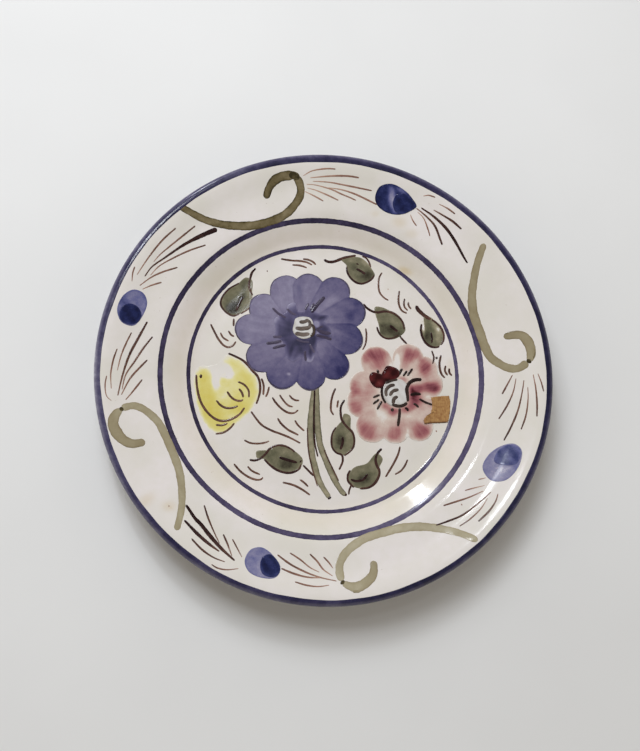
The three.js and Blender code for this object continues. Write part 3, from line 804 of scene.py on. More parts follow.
BLUE_HEART = [
    (-29.5, 30.5), (-28.6, 25), (-28.8, 21), (-25, 18.5), (-23.5, 14.5), (-22.5, 9), (-18.5, 6.5), (-14, 9.3),
    (-11, 6.8), (-8.5, 6.5), (-6.2, 11.5), (-4.6, 18), (0, 19.4), (3, 21.4), (2.6, 25.5), (-0.5, 30),
    (2, 33.6),
    (-4, 34.6), (-8.2, 37.6), (-11, 39), (-12.5, 35.6), (-16.6, 36), (-17.6, 40.6), (-22, 39),
    (-22.6, 35), (-27, 32.5),
]
HEART_BASE = 0.56
HEART_DEPTH = 1.25  # multiplies every amount in the table below
HEART_SHADES = [
    (-23, 24, 5, 7, 0, 0.2), (-17, 15, 7, 5, 0, 0.25), (-8, 15, 3, 6, 0, 0.15), (-1, 25, 4, 4, 0, 0.25),
    (-15, 34.5, 8, 2, 0, 0.1), (-7.5, 22, 2, 6, 0, 0.35), (-13, 18.6, 5, 1.6, 0, 0.2),
    (-5, 32.5, 5, 2, 0, 0.2),
    (-5.5, 28.6, 1.8, 2.4, 30, -0.5), (-5.4, 23.2, 1.4, 1.6, 0, -0.4), (-28, 31, 3, 2.5, 0, -0.15),
    (-20, 38.5, 3, 2.5, 0, -0.15), (-9, 8.5, 3.5, 2.5, 0, -0.2), (-19, 8.5, 4, 2.5, 0, 0.05),
    (-20.5, 27, 2.4, 5, 0, 0.16), (-13, 17.4, 6, 1.8, 0, 0.13), (-14, 12, 1.2, 5, 10, 0.1),
    (-25, 21, 4, 1.2, 10, 0.1),
    (-24, 27.5, 4, 1, -20, -0.08), (-18, 12, 1.2, 4, -20, -0.1), (-25.5, 32, 1, 4, 50, 0.16),
    (-9, 11, 1, 4, 0, 0.2),
    (-20, 12, 1, 5, -15, 0.16), (0, 21, 4, 1, 10, 0.2), (-26, 18.6, 4, 1, 5, 0.2), (-13.5, 37, 1, 3, 0, 0.16),
    (-2, 32.6, 4, 1, 30, 0.16),
]


def heart_paint(x, y, s):
    shaded = patches(x, y, HEART_BASE, HEART_SHADES, HEART_DEPTH)
    return np.maximum(shaded - 0.25 * ease((s - 0.8) / 0.2), 0.2)


BLUE_STROKES = [  # (width, pigment, points)
    (1.9, 0.85, [(-8.5, 35), (-5, 40), (-1, 44.5)]),
    (1.4, 0.7, [(-9, 36.2), (-8, 38.6), (-7, 40.6)]),
    (1.2, 0.55, [(-12, 36.5), (-11, 38.5), (-10, 40.6)]),
    (1.5, 0.8, [(-6, 22.2), (-2, 21.2), (3, 19.9)]),
    (1.8, 0.8, [(-5.5, 25.2), (-1, 23.6), (2.6, 23.4)]),
    (1.1, 0.75, [(-6.2, 25), (-4.4, 26.2), (-2, 27.5)]),
    (1.5, 0.8, [(-33.6, 16.7), (-29, 17.3), (-25, 18.3)]),
    (1.4, 0.8, [(-30, 14), (-26, 15.3), (-22.6, 16)]),
    (1.2, 0.55, [(-30, 20.6), (-27, 20.6), (-25, 20.8)]),
    (1.2, 0.65, [(-30.4, 37.2), (-27, 34), (-22.6, 31.6)]),
    (1.2, 0.6, [(-22.4, 37), (-19.5, 34.5), (-17, 33.5)]),
    (1.3, 0.7, [(-12, 13), (-12, 10), (-11.4, 7.2)]),
    (1.2, 0.55, [(-9.5, 17), (-8.2, 14.5), (-6.8, 12)]),
    (1.0, 0.6, [(-17, 19.4), (-13.5, 18.3), (-9.6, 18)]),
]
BLUE_EYE = [
    (-18.9, 24), (-18.3, 28.5), (-17.4, 31.4), (-13, 32.7), (-9, 31.8), (-7.2, 28), (-6.9, 24), (-8.6, 21.2),
    (-12.5, 19.7), (-16.2, 20.8),
]
BLUE_EYE_STROKES = [
    (2.2, 0.50, [(-15.4, 29.4), (-12.5, 29.6), (-9.9, 31)]),
    (1.8, 0.62, [(-10.3, 30.8), (-9.3, 28.6), (-10.1, 26.8)]),
    (2.5, 0.48, [(-17.6, 25.9), (-13.5, 25.6), (-10, 26.4), (-8.6, 28)]),
    (2.6, 0.46, [(-17.8, 23), (-14, 22.2), (-9.4, 22.7)]),
    (1.7, 0.72, [(-8.7, 28.6), (-7.3, 26.6), (-7.3, 23.4), (-9, 21.2)]),
]
BLUE_RIMS = [  # dark outline where the blue pooled at the petals' edges: (petal, from degrees, to degrees)
    (3, -20, 75), (4, -25, 60), (5, -62, 15), (6, -70, 25), (7, -140, -60), (8, -150, -60), (9, -170, -100),
    (2, 70, 120), (1, 120, 170), (0, 110, 160), (10, 130, 200),
]


def petal_rims(petals, table, width, pigment):
    lines = []
    for seed, (index, start, end) in enumerate(table):
        x, y, radius = petals[index]
        turn = np.radians(np.linspace(start, end, 7))
        points = np.stack([x + (radius - 0.2) * np.cos(turn), y + (radius - 0.2) * np.sin(turn)], -1)
        lines.append(ribbon(points, width, pigment, SWELLING, 0.09, 0, seed, lift=0.1))
    return lines


blue_outline = petal_outline(BLUE_CENTRE, BLUE_PETALS, 24)
blue_petals = blob(blue_outline, blue_petal_paint, BLUE_CENTRE, rows=70, relief=0.06, lift=0.06)
piece("blue_flower_petals", [blue_petals], MATERIALS["blue"], ["blue_flower"])
heart = blob(smooth_line(BLUE_HEART, 0.5, True), heart_paint, BLUE_CENTRE, rows=34, relief=0.04, lift=0.15)
piece("blue_flower_heart", [heart], MATERIALS["heart"])
blue_rims = petal_rims(BLUE_PETALS, BLUE_RIMS, 0.7, 0.5)
piece("blue_flower_rims", blue_rims, MATERIALS["violet"])
blue_lines = strokes(BLUE_STROKES, wider=BLUE_WIDER, lift=0.2)
piece("blue_flower_strokes", blue_lines, MATERIALS["violet"])


def white_paint(x, y, s):
    return 0.75 + 0.1 * np.sin(x * 1.3 + y) - 0.35 * ease((s - 0.8) / 0.2)


blue_eye = blob(smooth_line(BLUE_EYE, 0.5, True), white_paint, rows=14, relief=0.16, lift=0.2)
piece("blue_flower_white_eye", [blue_eye], MATERIALS["white"], ["blue_flower_eye"])
blue_eye_lines = strokes(BLUE_EYE_STROKES, lift=0.34, relief=0.06)
piece("blue_flower_eye_strokes", blue_eye_lines, MATERIALS["black"])

# ---- red flower ----
RED_CENTRE = np.array([38.5, -10.0])
RED_PETALS = [
    (28, 7.8, 8.9), (46.2, 9.8, 9), (55.2, 3.6, 8), (57.6, -4.4, 8.2), (54, -17, 7), (51.4, -28.6, 8.2),
    (38, -29.9, 8.4), (25.2, -29, 9), (20, -15.4, 9), (21.2, -6, 8.5),
]
RED_BASE = 0.13
RED_PETAL_LOAD = 0.1
RED_DEPTH = 1.1  # multiplies every amount in the table below
RED_SHADES = [
    (28, 12, 6.5, 4.5, 8, 0.35), (31, 9, 5, 4, 0, 0.22), (23, 10.5, 4, 4.5, 0, 0.2), (29, 5, 5, 3.5, 0, 0.22),
    (46.6, 12, 3.2, 4.4, 0, 0.48), (51, 12.5, 2.6, 3.4, 0, 0.22), (44, 7, 2.4, 3.6, 0, 0.18),
    (55.6, 5, 3.6, 5, 0, 0.5), (59.6, -6.4, 5, 3.8, 0, 0.5), (60.4, -6.2, 2.6, 2.6, 0, 0.15),
    (55, -6, 3, 3, 0, 0.22), (50.6, -7.4, 3.8, 3, 0, 0.55), (50, -13, 4, 4, 0, 0.45),
    (53, -15.5, 4, 4, 0, 0.1),
    (52.8, -31, 5, 4.4, -12, 0.45), (49, -27, 3, 3, 0, 0.1), (37.6, -33, 4.6, 4, 25, 0.34),
    (42, -28, 5, 4, 0, 0.16),
    (22.6, -31.5, 5.6, 5.4, 30, 0.36), (19, -27, 4, 4, 0, 0.12), (15.6, -8.2, 3.6, 4.6, 0, 0.28),
    (21, -12, 5, 5, 0, 0.12), (16.4, -18.6, 4, 4.6, 0, 0.34), (24, -22, 4, 3, 0, 0.1),
    (25, -7, 3.5, 5, 0, 0.15),
    (37, -20.5, 3, 2.6, 0, 0.45), (33.6, -17.5, 2.6, 2.6, -40, 0.35), (46.5, -18, 4.4, 2.6, 20, 0.36),
    (43, -2, 2.6, 1.6, -20, 0.3), (47.6, -8, 1.6, 4, 10, 0.3), (38, 6, 4, 7, 0, -0.06),
    (30, -23, 4, 4, 0, -0.08),
    (47.5, -12, 4, 5, 0, 0.25), (42, -19.5, 5, 2.2, 0, 0.25), (31, -16.5, 2.4, 3, 30, 0.15),
    (33, -1, 4, 3, 0, 0.2),
    (36.5, 0.5, 2, 9, 0, -0.1), (40, 8, 1.5, 5, 0, -0.2), (58, -12, 3, 1.2, 0, -0.15),
    (45, -33, 1.2, 4, 0, -0.2),
]


def red_petal_paint(x, y, s):
    turn = np.arctan2(y - RED_CENTRE[1], x - RED_CENTRE[0])
    rim = 0.14 * np.exp(-(((s - 0.9) / 0.07) ** 2))
    washes = [(px, py, 0.85 * r, 0.85 * r, 0, RED_PETAL_LOAD) for px, py, r in RED_PETALS]
    paint = patches(x, y, RED_BASE, washes) + patches(x, y, 0, RED_SHADES, RED_DEPTH)
    paint = paint + rim * (0.7 + 0.5 * ripple(turn, 6))
    paint = paint * (1 + 0.12 * s * ripple(turn * 5, 2))
    return paint * (1 - 0.6 * ease((s - 0.96) / 0.04))


RED_IMPASTO = [
    [
        (23.9, -0.5), (24.6, -4), (27.4, -6.9), (31, -7), (32.8, -4.6), (33.6, -1.4), (31, 0.6),
        (28.4, 1.4), (25.6, 1.7),
    ],
    [
        (32, -3.6), (35.6, -2.6), (39.4, -1.6), (41.2, 0.6), (40.4, 3.4), (37, 5.2), (33.8, 5.4),
        (32.2, 3), (30.8, 0.4),
    ],
]
RED_EYE = [
    (31.6, -6.2), (34, -4.2), (37, -3), (41.5, -1.9), (45, -4.6), (45.6, -9), (45.4, -14), (41, -16.6),
    (36, -17.2),
    (32.6, -14), (31.2, -10),
]
RED_EYE_STROKES = [
    (2.1, 0.58, [(38.4, -5.2), (35.2, -6.1), (33.2, -8.6), (33.5, -12)]),
    (2.1, 0.60, [(40.5, -7.8), (37, -9), (35.2, -11.6)]),
    (2.2, 0.60, [(40, -11.7), (37.7, -13.2), (37.1, -16.4)]),
]
RED_BLACK = [
    (1.8, 0.92, [(53.6, -1.9), (49.6, -2.2), (46.6, -3.9), (45, -7), (45.3, -11.5), (45.4, -14.6)]),
    (1.6, 0.85, [(45.2, -15.4), (41.4, -17.1), (36.2, -16.4)]),
    (1.3, 0.9, [(31.8, -4.6), (31, -8), (31.2, -12), (33, -15.8)]),
    (1.3, 0.8, [(33, -4.6), (36, -3.2), (40, -2.2)]),
    (1.1, 0.85, [(29.8, -11), (27.8, -11.8), (25.8, -12.7)]),
    (1.1, 0.85, [(29.4, -13.6), (27.5, -15), (25.8, -16.3)]),
    (1.1, 0.85, [(31, -14.5), (29.4, -17), (28.1, -19.4)]),
    (1.3, 0.95, [(42.7, 4.2), (41.6, 2.4), (40.6, 0.4)]),
    (1.1, 0.85, [(45.4, 3), (44.2, 1.4), (43, -0.2)]),
    (1.2, 0.9, [(48.5, 4.3), (46.9, 2.1), (45.4, 0)]),
    (1.5, 0.95, [(46.8, -10.8), (50, -10.1), (53, -10.2)]),
    (1.1, 0.9, [(51.8, -12.9), (55.5, -14.8), (59.5, -16.2)]),
    (1.1, 0.9, [(48.5, -15.5), (50.2, -16.4), (51.5, -17.8)]),
    (1.2, 0.95, [(43.6, -18), (44.8, -18.6), (45.6, -20)]),
    (1.4, 0.92, [(40.8, -18.3), (40.6, -22), (39.6, -28.6)]),
    (1.6, 0.8, [(36.6, -18.2), (36.6, -20.4)]),
    (1.2, 0.9, [(28.4, 3.2), (29.2, 1.2)]),
]
RED_CRACK = [(0.7, 0.45, [(32, -35.2), (34.4, -32), (37, -28)])]


def maroon_paint(x, y, s):
    return 0.76 + 0.16 * np.sin(x * 0.9 - y * 0.7) + 0.16 * np.sin(x * 0.5 + y * 0.8) + 0.1 * s


red_outline = petal_outline(RED_CENTRE, RED_PETALS, 17)
red_petals = blob(red_outline, red_petal_paint, RED_CENTRE, rows=56, relief=0.05)
piece("red_flower_petals", [red_petals], MATERIALS["red"], ["red_flower"])
impasto = [
    blob(smooth_line(shape, 0.4, True), maroon_paint, rows=14, relief=0.4, lift=0.06, pooled=-0.2)
    for shape in RED_IMPASTO
]
piece("red_flower_impasto", impasto, MATERIALS["maroon"])
red_eye = blob(smooth_line(RED_EYE, 0.5, True), white_paint, rows=14, relief=0.1, lift=0.1)
piece("red_flower_white_eye", [red_eye], MATERIALS["white"], ["red_flower_eye"])
red_lines = strokes(RED_EYE_STROKES, lift=0.18, relief=0.08)
red_lines += strokes(RED_BLACK, wider=DARK_WIDER, lift=0.18, relief=0.08)
piece("red_flower_strokes", red_lines, MATERIALS["black"])
piece("red_flower_crack", strokes(RED_CRACK, lift=0.02, relief=0.02), MATERIALS["red"])

# ---- yellow flower ----
YELLOW_CENTRE = (-57.0, -20.0)
YELLOW_OUTLINE = [
    (-72.6, 0), (-69, 3.4), (-65, 3.4), (-61, 4.4), (-58.2, 7), (-55.6, 9.8),
    (-49.6, 9), (-42.8, 3.4), (-37.6, -3.6), (-36.8, -12), (-41, -21), (-49, -28.5), (-57, -34.6),
    (-63.8, -32.6), (-69, -24), (-72.8, -12),
]
YELLOW_SHADES = [
    (-62, -22, 7, 7, 0, 0.3), (-48, -19, 6, 6, 0, 0.26), (-66, -12, 5, 8, 0, 0.26),
    (-68, -2, 3.5, 4.5, 0, 0.2),
    (-57, -29, 5, 4, 0, 0.16), (-44, -4, 4, 6, 30, 0.2), (-50, 6, 4, 3, -30, 0.16), (-40, -13, 3, 6, 0, 0.12),
    (-59, 2, 6, 4.5, 0, -0.6), (-55, -0.5, 4, 3, -20, -0.5), (-61, -6, 2.6, 5, 0, -0.45),
    (-56, -13, 4, 4, 0, -0.1), (-52, -25, 4, 2, 20, -0.06),
]
YELLOW_STROKES = [
    (1.2, 0.7, [(-71.6, -1.8), (-71.1, -8), (-69.5, -15), (-67, -20), (-63, -24.5), (-59, -26.8), (-55, -27),
                (-50.5, -25.3), (-47, -22.5), (-45, -19.5)]),
    (1.3, 0.85, [(-69, -1.5), (-69.1, -2.8), (-69.2, -3.8)]),
    (1.1, 0.7, [(-60.5, -15.7), (-58, -18.5), (-55, -19.9), (-51.5, -19.8), (-48.5, -18.7)]),
    (1.1, 0.7, [(-54.7, -10.7), (-52.5, -13.8), (-50, -15.5), (-47, -15.8), (-45.8, -15)]),
    (1.1, 0.72, [(-48.3, -9), (-46.5, -11.5), (-45.8, -14)]),
    (1.0, 0.68, [(-49, -5.2), (-45.5, -6.8), (-43, -10), (-42.7, -14)]),
    (1.0, 0.68, [(-60.5, -29.3), (-57, -29.5), (-54, -28.3)]),
    (1.0, 0.68, [(-60.5, -34.3), (-56, -33.3), (-52.5, -30.8), (-50.3, -28)]),
    (1.2, 0.8, [
        (-54.5, 10.6), (-50, 8.7), (-46, 6.5), (-43, 3.5), (-41, 1), (-38.5, -1.5), (-37, -5),
        (-36.7, -10), (-37.5, -14), (-38.7, -17.5),
    ]),
]


def yellow_paint(x, y, s):
    return patches(x, y, 0.3, YELLOW_SHADES) * (1 - 0.8 * ease((s - 0.8) / 0.2))


yellow_outline = smooth_line(YELLOW_OUTLINE, 0.6, True)
yellow = blob(yellow_outline, yellow_paint, YELLOW_CENTRE, rows=40, relief=0.02, pooled=0)
piece("yellow_flower_wash", [yellow], MATERIALS["yellow"], ["yellow_flower"])
yellow_lines = strokes(YELLOW_STROKES, wider=DARK_WIDER, lift=0.04)
piece("yellow_flower_strokes", yellow_lines, MATERIALS["brown"])

# ---- stems ----
LEFT_STEM = [
    (-6.6, -6), (-8, -18), (-9, -30), (-8.5, -40), (-7.8, -46), (-5.4, -55), (-3.6, -60), (1.5, -68.2),
]
RIGHT_STEM = [
    (-5.6, -7), (-5.2, -25), (-4.3, -35), (-3.4, -40), (0.5, -50), (2.5, -55), (5.1, -60), (8.5, -65),
    (10.5, -66.6),
]
STEM_SHAPE = [0.75, 0.95, 1, 1, 1, 0.9, 0.75]
STEM_LINES = [
    (1.1, 0.95, [(-6.6, -9), (-7, -24), (-6.6, -38), (-4.8, -46)]),
    (0.8, 0.75, [(-10.6, -30), (-10, -42), (-8, -52), (-5, -62)]),
    (0.8, 0.75, [(-1.6, -42), (2.6, -51), (6.6, -59)]),
    (2.4, 0.95, [(1.1, -67.6), (1.9, -68.8)]),
    (1.9, 0.85, [(9.9, -66), (10.9, -66.9)]),
]
piece(
    "stem_left_stroke",
    [ribbon(LEFT_STEM, 3.7, 0.32, STEM_SHAPE, 0.06, 0.1, 3, pooled=0.5)],
    MATERIALS["leaf"],
    ["stem_left"],
)
piece(
    "stem_right_stroke",
    [ribbon(RIGHT_STEM, 3.5, 0.34, STEM_SHAPE, 0.06, 0.1, 6, lift=0.02, pooled=0.5)],
    MATERIALS["leaf"],
    ["stem_right"],
)
piece("stem_lines", strokes(STEM_LINES, lift=0.06), MATERIALS["brown"])

# ---- leaves: a washed shape, dark patches, and outline strokes laid over it ----
LEAF_BASE = 0.54
LEAF_DEPTH = 1.6  # multiplies every amount in the shades below
LEAVES = {
    "leaf_1": {
        "outline": [
            (-58.8, 39), (-56, 46), (-50, 50.4), (-45.6, 54.4), (-42, 53), (-41.8, 46), (-42, 38.5),
            (-47, 34), (-54, 32.3),
        ],
        "shades": [
            (-52.5, 36.5, 4, 4.5, -30, 0.3), (-48, 42, 2, 5, -30, 0.2), (-46, 50, 3, 3, 0, 0.1),
            (-44, 44, 2.5, 5, 0, -0.05),
        ],
        "strokes": [
            (1.2, 0.85, [(-40, 60), (-42, 57.5), (-43, 54), (-43.7, 50), (-42.5, 46), (-41.5, 44)]),
            (1.1, 0.85, [(-49, 51), (-55, 47), (-58.5, 42), (-59, 38), (-56, 34), (-52, 32), (-48.5, 33.5)]),
            (0.8, 0.7, [(-48, 33.3), (-45.5, 35), (-43, 37)]),
            (1.6, 0.95, [(-47, 43.5), (-49, 39), (-50.5, 35)]),
            (1.0, 0.8, [(-51.8, 30.5), (-51.8, 26)]),
        ],
    },
    "leaf_2": {
        "outline": [
            (8.6, 66.8), (15, 68.6), (19.4, 68.4), (23.4, 65.6), (26, 62), (27.8, 58), (24.6, 54.4),
            (20, 53), (14.6, 56), (12, 60), (11.4, 63.6),
        ],
        "shades": [
            (23, 57.5, 4.5, 3, 25, 0.25), (15.5, 63, 3, 3, 0, 0.12), (22.5, 65, 3, 2, -30, -0.12),
            (14, 66.5, 4, 1.6, 10, -0.06),
        ],
        "strokes": [
            (1.5, 0.85, [(-1.5, 66.5), (1, 65.3), (4, 65.4), (8, 67), (11, 68.1), (15, 69), (17, 69.6)]),
            (0.9, 0.8, [(20.4, 69.3), (23, 68), (24.8, 65), (25.4, 62.6)]),
            (1.2, 0.9, [
                (11.7, 63), (11.9, 60), (14, 56), (17, 53.6), (20, 53), (23, 53.9), (26, 56),
                (27.5, 58.4),
            ]),
            (1.9, 0.92, [(17.9, 65), (17.6, 64)]),
            (1.4, 0.95, [(17, 61.7), (19.6, 60.4), (22.4, 58.6)]),
        ],
    },
    "leaf_3": {
        "outline": [
            (27.5, 39.3), (31, 39.6), (38, 36.4), (43.4, 31.4), (44.8, 26), (38, 20.9), (31.4, 22.6),
            (29.6, 29),
        ],
        "shades": [(34, 27, 5, 4, 0, 0.2), (40, 24, 4, 3, 0, 0.2), (38, 32, 3, 2, -30, -0.08)],
        "strokes": [
            (1.3, 0.85, [
                (21, 41), (23, 38.7), (26, 36.9), (29, 36.3), (33, 37), (37, 36.5), (41, 34),
                (43.5, 30.5), (44.3, 26.5),
            ]),
            (1.1, 0.88, [(28.5, 28), (29.5, 25), (31.5, 22.5), (34.5, 21.3), (38, 21.7), (41, 23.5)]),
            (1.0, 0.85, [(41.5, 23), (43, 21), (45.7, 18.3)]),
            (1.5, 0.95, [(35.8, 29), (38.4, 27), (40.5, 25.3)]),
        ],
    },
    "leaf_4": {
        "outline": [
            (55.8, 34.6), (59.4, 34.4), (63, 31), (65.6, 27.6), (66.6, 23), (65.4, 18.8), (62.6, 17),
            (58, 17.4), (54.8, 21.6), (54, 26), (55.4, 30),
        ],
        "shades": [
            (57.5, 22, 2.6, 4, 0, 0.2), (58.5, 27, 2.6, 3, 0, 0.1), (62.6, 29, 2.4, 4, 25, -0.2),
            (64, 24, 2, 5, 0, -0.14), (55.3, 28, 0.9, 3.4, 0, -0.35),
        ],
        "strokes": [
            (2.0, 0.8, [(51.2, 41), (52.4, 38.6), (54.6, 36.4), (57.4, 34.2), (60, 33.2)]),
            (1.2, 0.8, [(60, 33.2), (63, 30.8), (65.4, 28), (66.7, 24.4), (66.5, 21), (65, 18.3)]),
            (1.3, 0.92, [
                (54.2, 30.3), (53.8, 27), (54.5, 23), (56.2, 19.6), (58.8, 17.5), (62, 16.9),
                (64.3, 17.5),
            ]),
            (1.1, 0.98, [(59.4, 25.6), (60, 22.4), (59.8, 19.2)]),
            (0.9, 0.85, [(59.7, 15), (60.8, 11), (60, 7)]),
        ],
    },
    "leaf_5": {
        "outline": [
            (9.6, -22), (13, -23), (13.4, -30), (15.3, -36), (13.4, -42.6), (8.8, -45), (4, -42.2),
            (2.4, -37), (5, -30), (8.4, -25.6),
        ],
        "shades": [(7.5, -37, 3, 4, 0, 0.22), (12, -35, 2, 5, 0, -0.06), (11, -25, 2, 3, 0, -0.1)],
        "strokes": [
            (1.2, 0.85, [
                (10, -14.2), (8, -18), (7.8, -22), (8.5, -25.5), (11, -29), (14, -32), (15.2, -36),
                (14.5, -40.5), (12, -43.5), (9.5, -45.2),
            ]),
            (1.1, 0.85, [
                (5.3, -29.5), (3.3, -33), (2.7, -37), (3.3, -41), (5.5, -43.6), (8.3, -44.8),
                (8.8, -48), (6.8, -53),
            ]),
            (1.4, 0.95, [(8.8, -34.8), (8.8, -38), (7.5, -42)]),
        ],
    },
    "leaf_6": {
        "outline": [
            (27.5, -43.6), (30.9, -46.5), (28.8, -52), (28, -58.6), (21, -63), (13.6, -61.4),
            (11.4, -57), (15, -51.6), (22, -49.2),
        ],
        "shades": [(20, -58, 5, 3, 25, 0.22), (26, -50, 3, 3, 0, -0.06), (16, -54, 3, 2, 30, -0.04)],
        "strokes": [
            (1.4, 0.85, [
                (30.5, -41), (28.3, -43.3), (27, -46.5), (27.3, -49.5), (28.8, -53), (28.6, -56),
                (26.5, -59.8), (23, -62.3), (18, -63),
            ]),
            (1.2, 0.88, [(13, -53), (11.6, -56), (11.8, -59), (13.5, -61), (15, -62.5)]),
            (1.4, 0.95, [(22.5, -55), (20, -58), (16, -59), (13, -58)]),
            (0.9, 0.8, [(13.5, -61), (12.3, -64), (12, -66.5)]),
        ],
    },
    "leaf_7": {
        "outline": [
            (-38.2, -43.4), (-32, -42.6), (-26, -40.1), (-19, -42), (-13, -47.6), (-14.4, -52),
            (-21.6, -55), (-29, -52), (-34, -47.6), (-37.8, -47.2),
        ],
        "shades": [(-22, -50, 5, 3, 0, 0.22), (-30, -45, 4, 2, 0, 0.08), (-22, -43.5, 4, 1.6, -10, -0.08)],
        "strokes": [
            (1.2, 0.85, [
                (-42, -48), (-39.5, -48.4), (-36.5, -47.5), (-33.5, -45), (-31, -42), (-27, -40.2),
                (-23, -40.4), (-19.5, -42), (-17.2, -43.8),
            ]),
            (1.3, 0.88, [
                (-34, -47.5), (-31, -50.5), (-27, -53.3), (-22, -54.8), (-18, -54.3), (-15, -52.5),
                (-14, -50),
            ]),
            (1.5, 0.95, [(-26, -46.5), (-21, -48), (-16, -49.3)]),
            (2.6, 0.92, [(-14.6, -48.2), (-13.6, -49)]),
            (1.0, 0.85, [(-13, -50.5), (-10, -53.5), (-7, -56.5)]),
        ],
    },
}


def leaf_wash(shades):
    return lambda x, y, s: patches(x, y, LEAF_BASE, shades, LEAF_DEPTH) - 0.12 * ease((s - 0.85) / 0.15)


for leaf_name, leaf in LEAVES.items():
    leaf_outline = smooth_line(leaf["outline"], 0.5, True)
    wash = blob(leaf_outline, leaf_wash(leaf["shades"]), rows=18, relief=0.06)
    piece(leaf_name + "_wash", [wash], MATERIALS["leaf"], [leaf_name])
    leaf_lines = strokes(leaf["strokes"], wider=DARK_WIDER, lift=0.04)
    piece(leaf_name + "_strokes", leaf_lines, MATERIALS["brown"])

# ---- rim scrolls: a long stroke, a hook, and the dark places where the two overlap ----
SCROLLS = {
    "scroll_1": {
        "long": [
            (-82.8, 89.8), (-70, 84.2), (-60, 82), (-50, 81.7), (-40, 82.9), (-30, 86.4), (-23.5, 90.3),
            (-19.2, 95), (-16.2, 100), (-15.6, 104.5), (-17, 109), (-19.4, 111.4),
        ],
        "hook": [
            (-16.4, 110.2), (-19, 111.6), (-23, 111.4), (-27, 110.4), (-30.6, 108.2), (-33.5, 104),
            (-35.3, 98),
        ],
        "width": (4.9, 4.5),
        "pigment": (0.84, 0.86),
        "overlaps": [(3.6, 1.0, [(-22.6, 111.9), (-19.6, 111.5), (-16.6, 109.8)])],
    },
    "scroll_2": {
        "long": [
            (88.6, 75), (85.2, 65), (83, 55), (81.8, 45), (82.7, 35), (85.8, 25), (89, 15), (91.5, 10),
            (95.5, 6.7), (100, 4.2), (104.5, 3.4), (108, 4.5), (111.3, 7.2),
        ],
        "hook": [(112, 7), (113.2, 11), (113, 15), (111.5, 19), (108.5, 22.2), (104, 22.6), (98.8, 21.5)],
        "width": (4.9, 4.6),
        "pigment": (0.62, 0.64),
        "overlaps": [
            (3.0, 0.95, [(111.2, 6.6), (112.8, 8.4)]), (0.9, 0.8, [(114.4, 9), (115.3, 12),
            (115.1, 15)]),
        ],
    },
    "scroll_3": {
        "long": [
            (79, -91), (70, -87.2), (60, -84.8), (50, -83.7), (40, -84.3), (30, -86.5), (20, -89.6),
            (15, -92.5), (11, -95.5), (7.5, -99.5), (5.6, -104), (5.6, -108), (6.6, -112),
        ],
        "hook": [
            (6.9, -112.7), (10, -114.3), (14, -115), (18, -113.5), (22.8, -109), (23.7, -105),
            (23.4, -101.5),
        ],
        "width": (4.7, 4.4),
        "pigment": (0.4, 0.5),
        "overlaps": [(2.8, 0.95, [(6.2, -111.8), (7.6, -113.4)]), (1.2, 0.7, [(12, -117.4), (16, -117.2)])],
    },
    "scroll_4": {
        "long": [
            (-79.2, -86.4), (-77.1, -75), (-77.3, -65), (-79, -55), (-82.9, -45), (-87.6, -35),
            (-90.4, -30), (-94, -26.3), (-99, -22.7), (-103.5, -21.3), (-107, -22), (-109.8, -23.3),
        ],
        "hook": [
            (-109.7, -23.3), (-112.5, -26.5), (-113.7, -31), (-112, -35.5), (-108.5, -39.5),
            (-104, -41.6), (-99.5, -41), (-97, -40.2),
        ],
        "width": (4.3, 4.8),
        "pigment": (0.5, 0.6),
        "overlaps": [(2.4, 0.95, [(-108.9, -22.8), (-110.6, -24.2)])],
    },
}
LONG_SHAPE = [0.8, 0.92, 1.05, 1.05, 1, 0.95]
HOOK_SHAPE = [0.7, 1.15, 1.2, 1, 0.85]
SCROLL_POOLED = 0.22
for seed, (scroll_name, scroll) in enumerate(SCROLLS.items()):
    long_width, hook_width = scroll["width"]
    long_pigment, hook_pigment = scroll["pigment"]
    long_stroke = ribbon(
        scroll["long"], long_width, long_pigment, LONG_SHAPE, 0.05, 0, seed, pooled=SCROLL_POOLED
    )
    hook = ribbon(
        scroll["hook"], hook_width, hook_pigment, HOOK_SHAPE, 0.05, -0.16, seed + 4,
        lift=0.02, pooled=SCROLL_POOLED,
    )
    body = [long_stroke, hook]
    body += strokes(scroll["overlaps"], lift=0.08, relief=0.06)
    piece(scroll_name + "_strokes", body, MATERIALS["scroll"], [scroll_name])

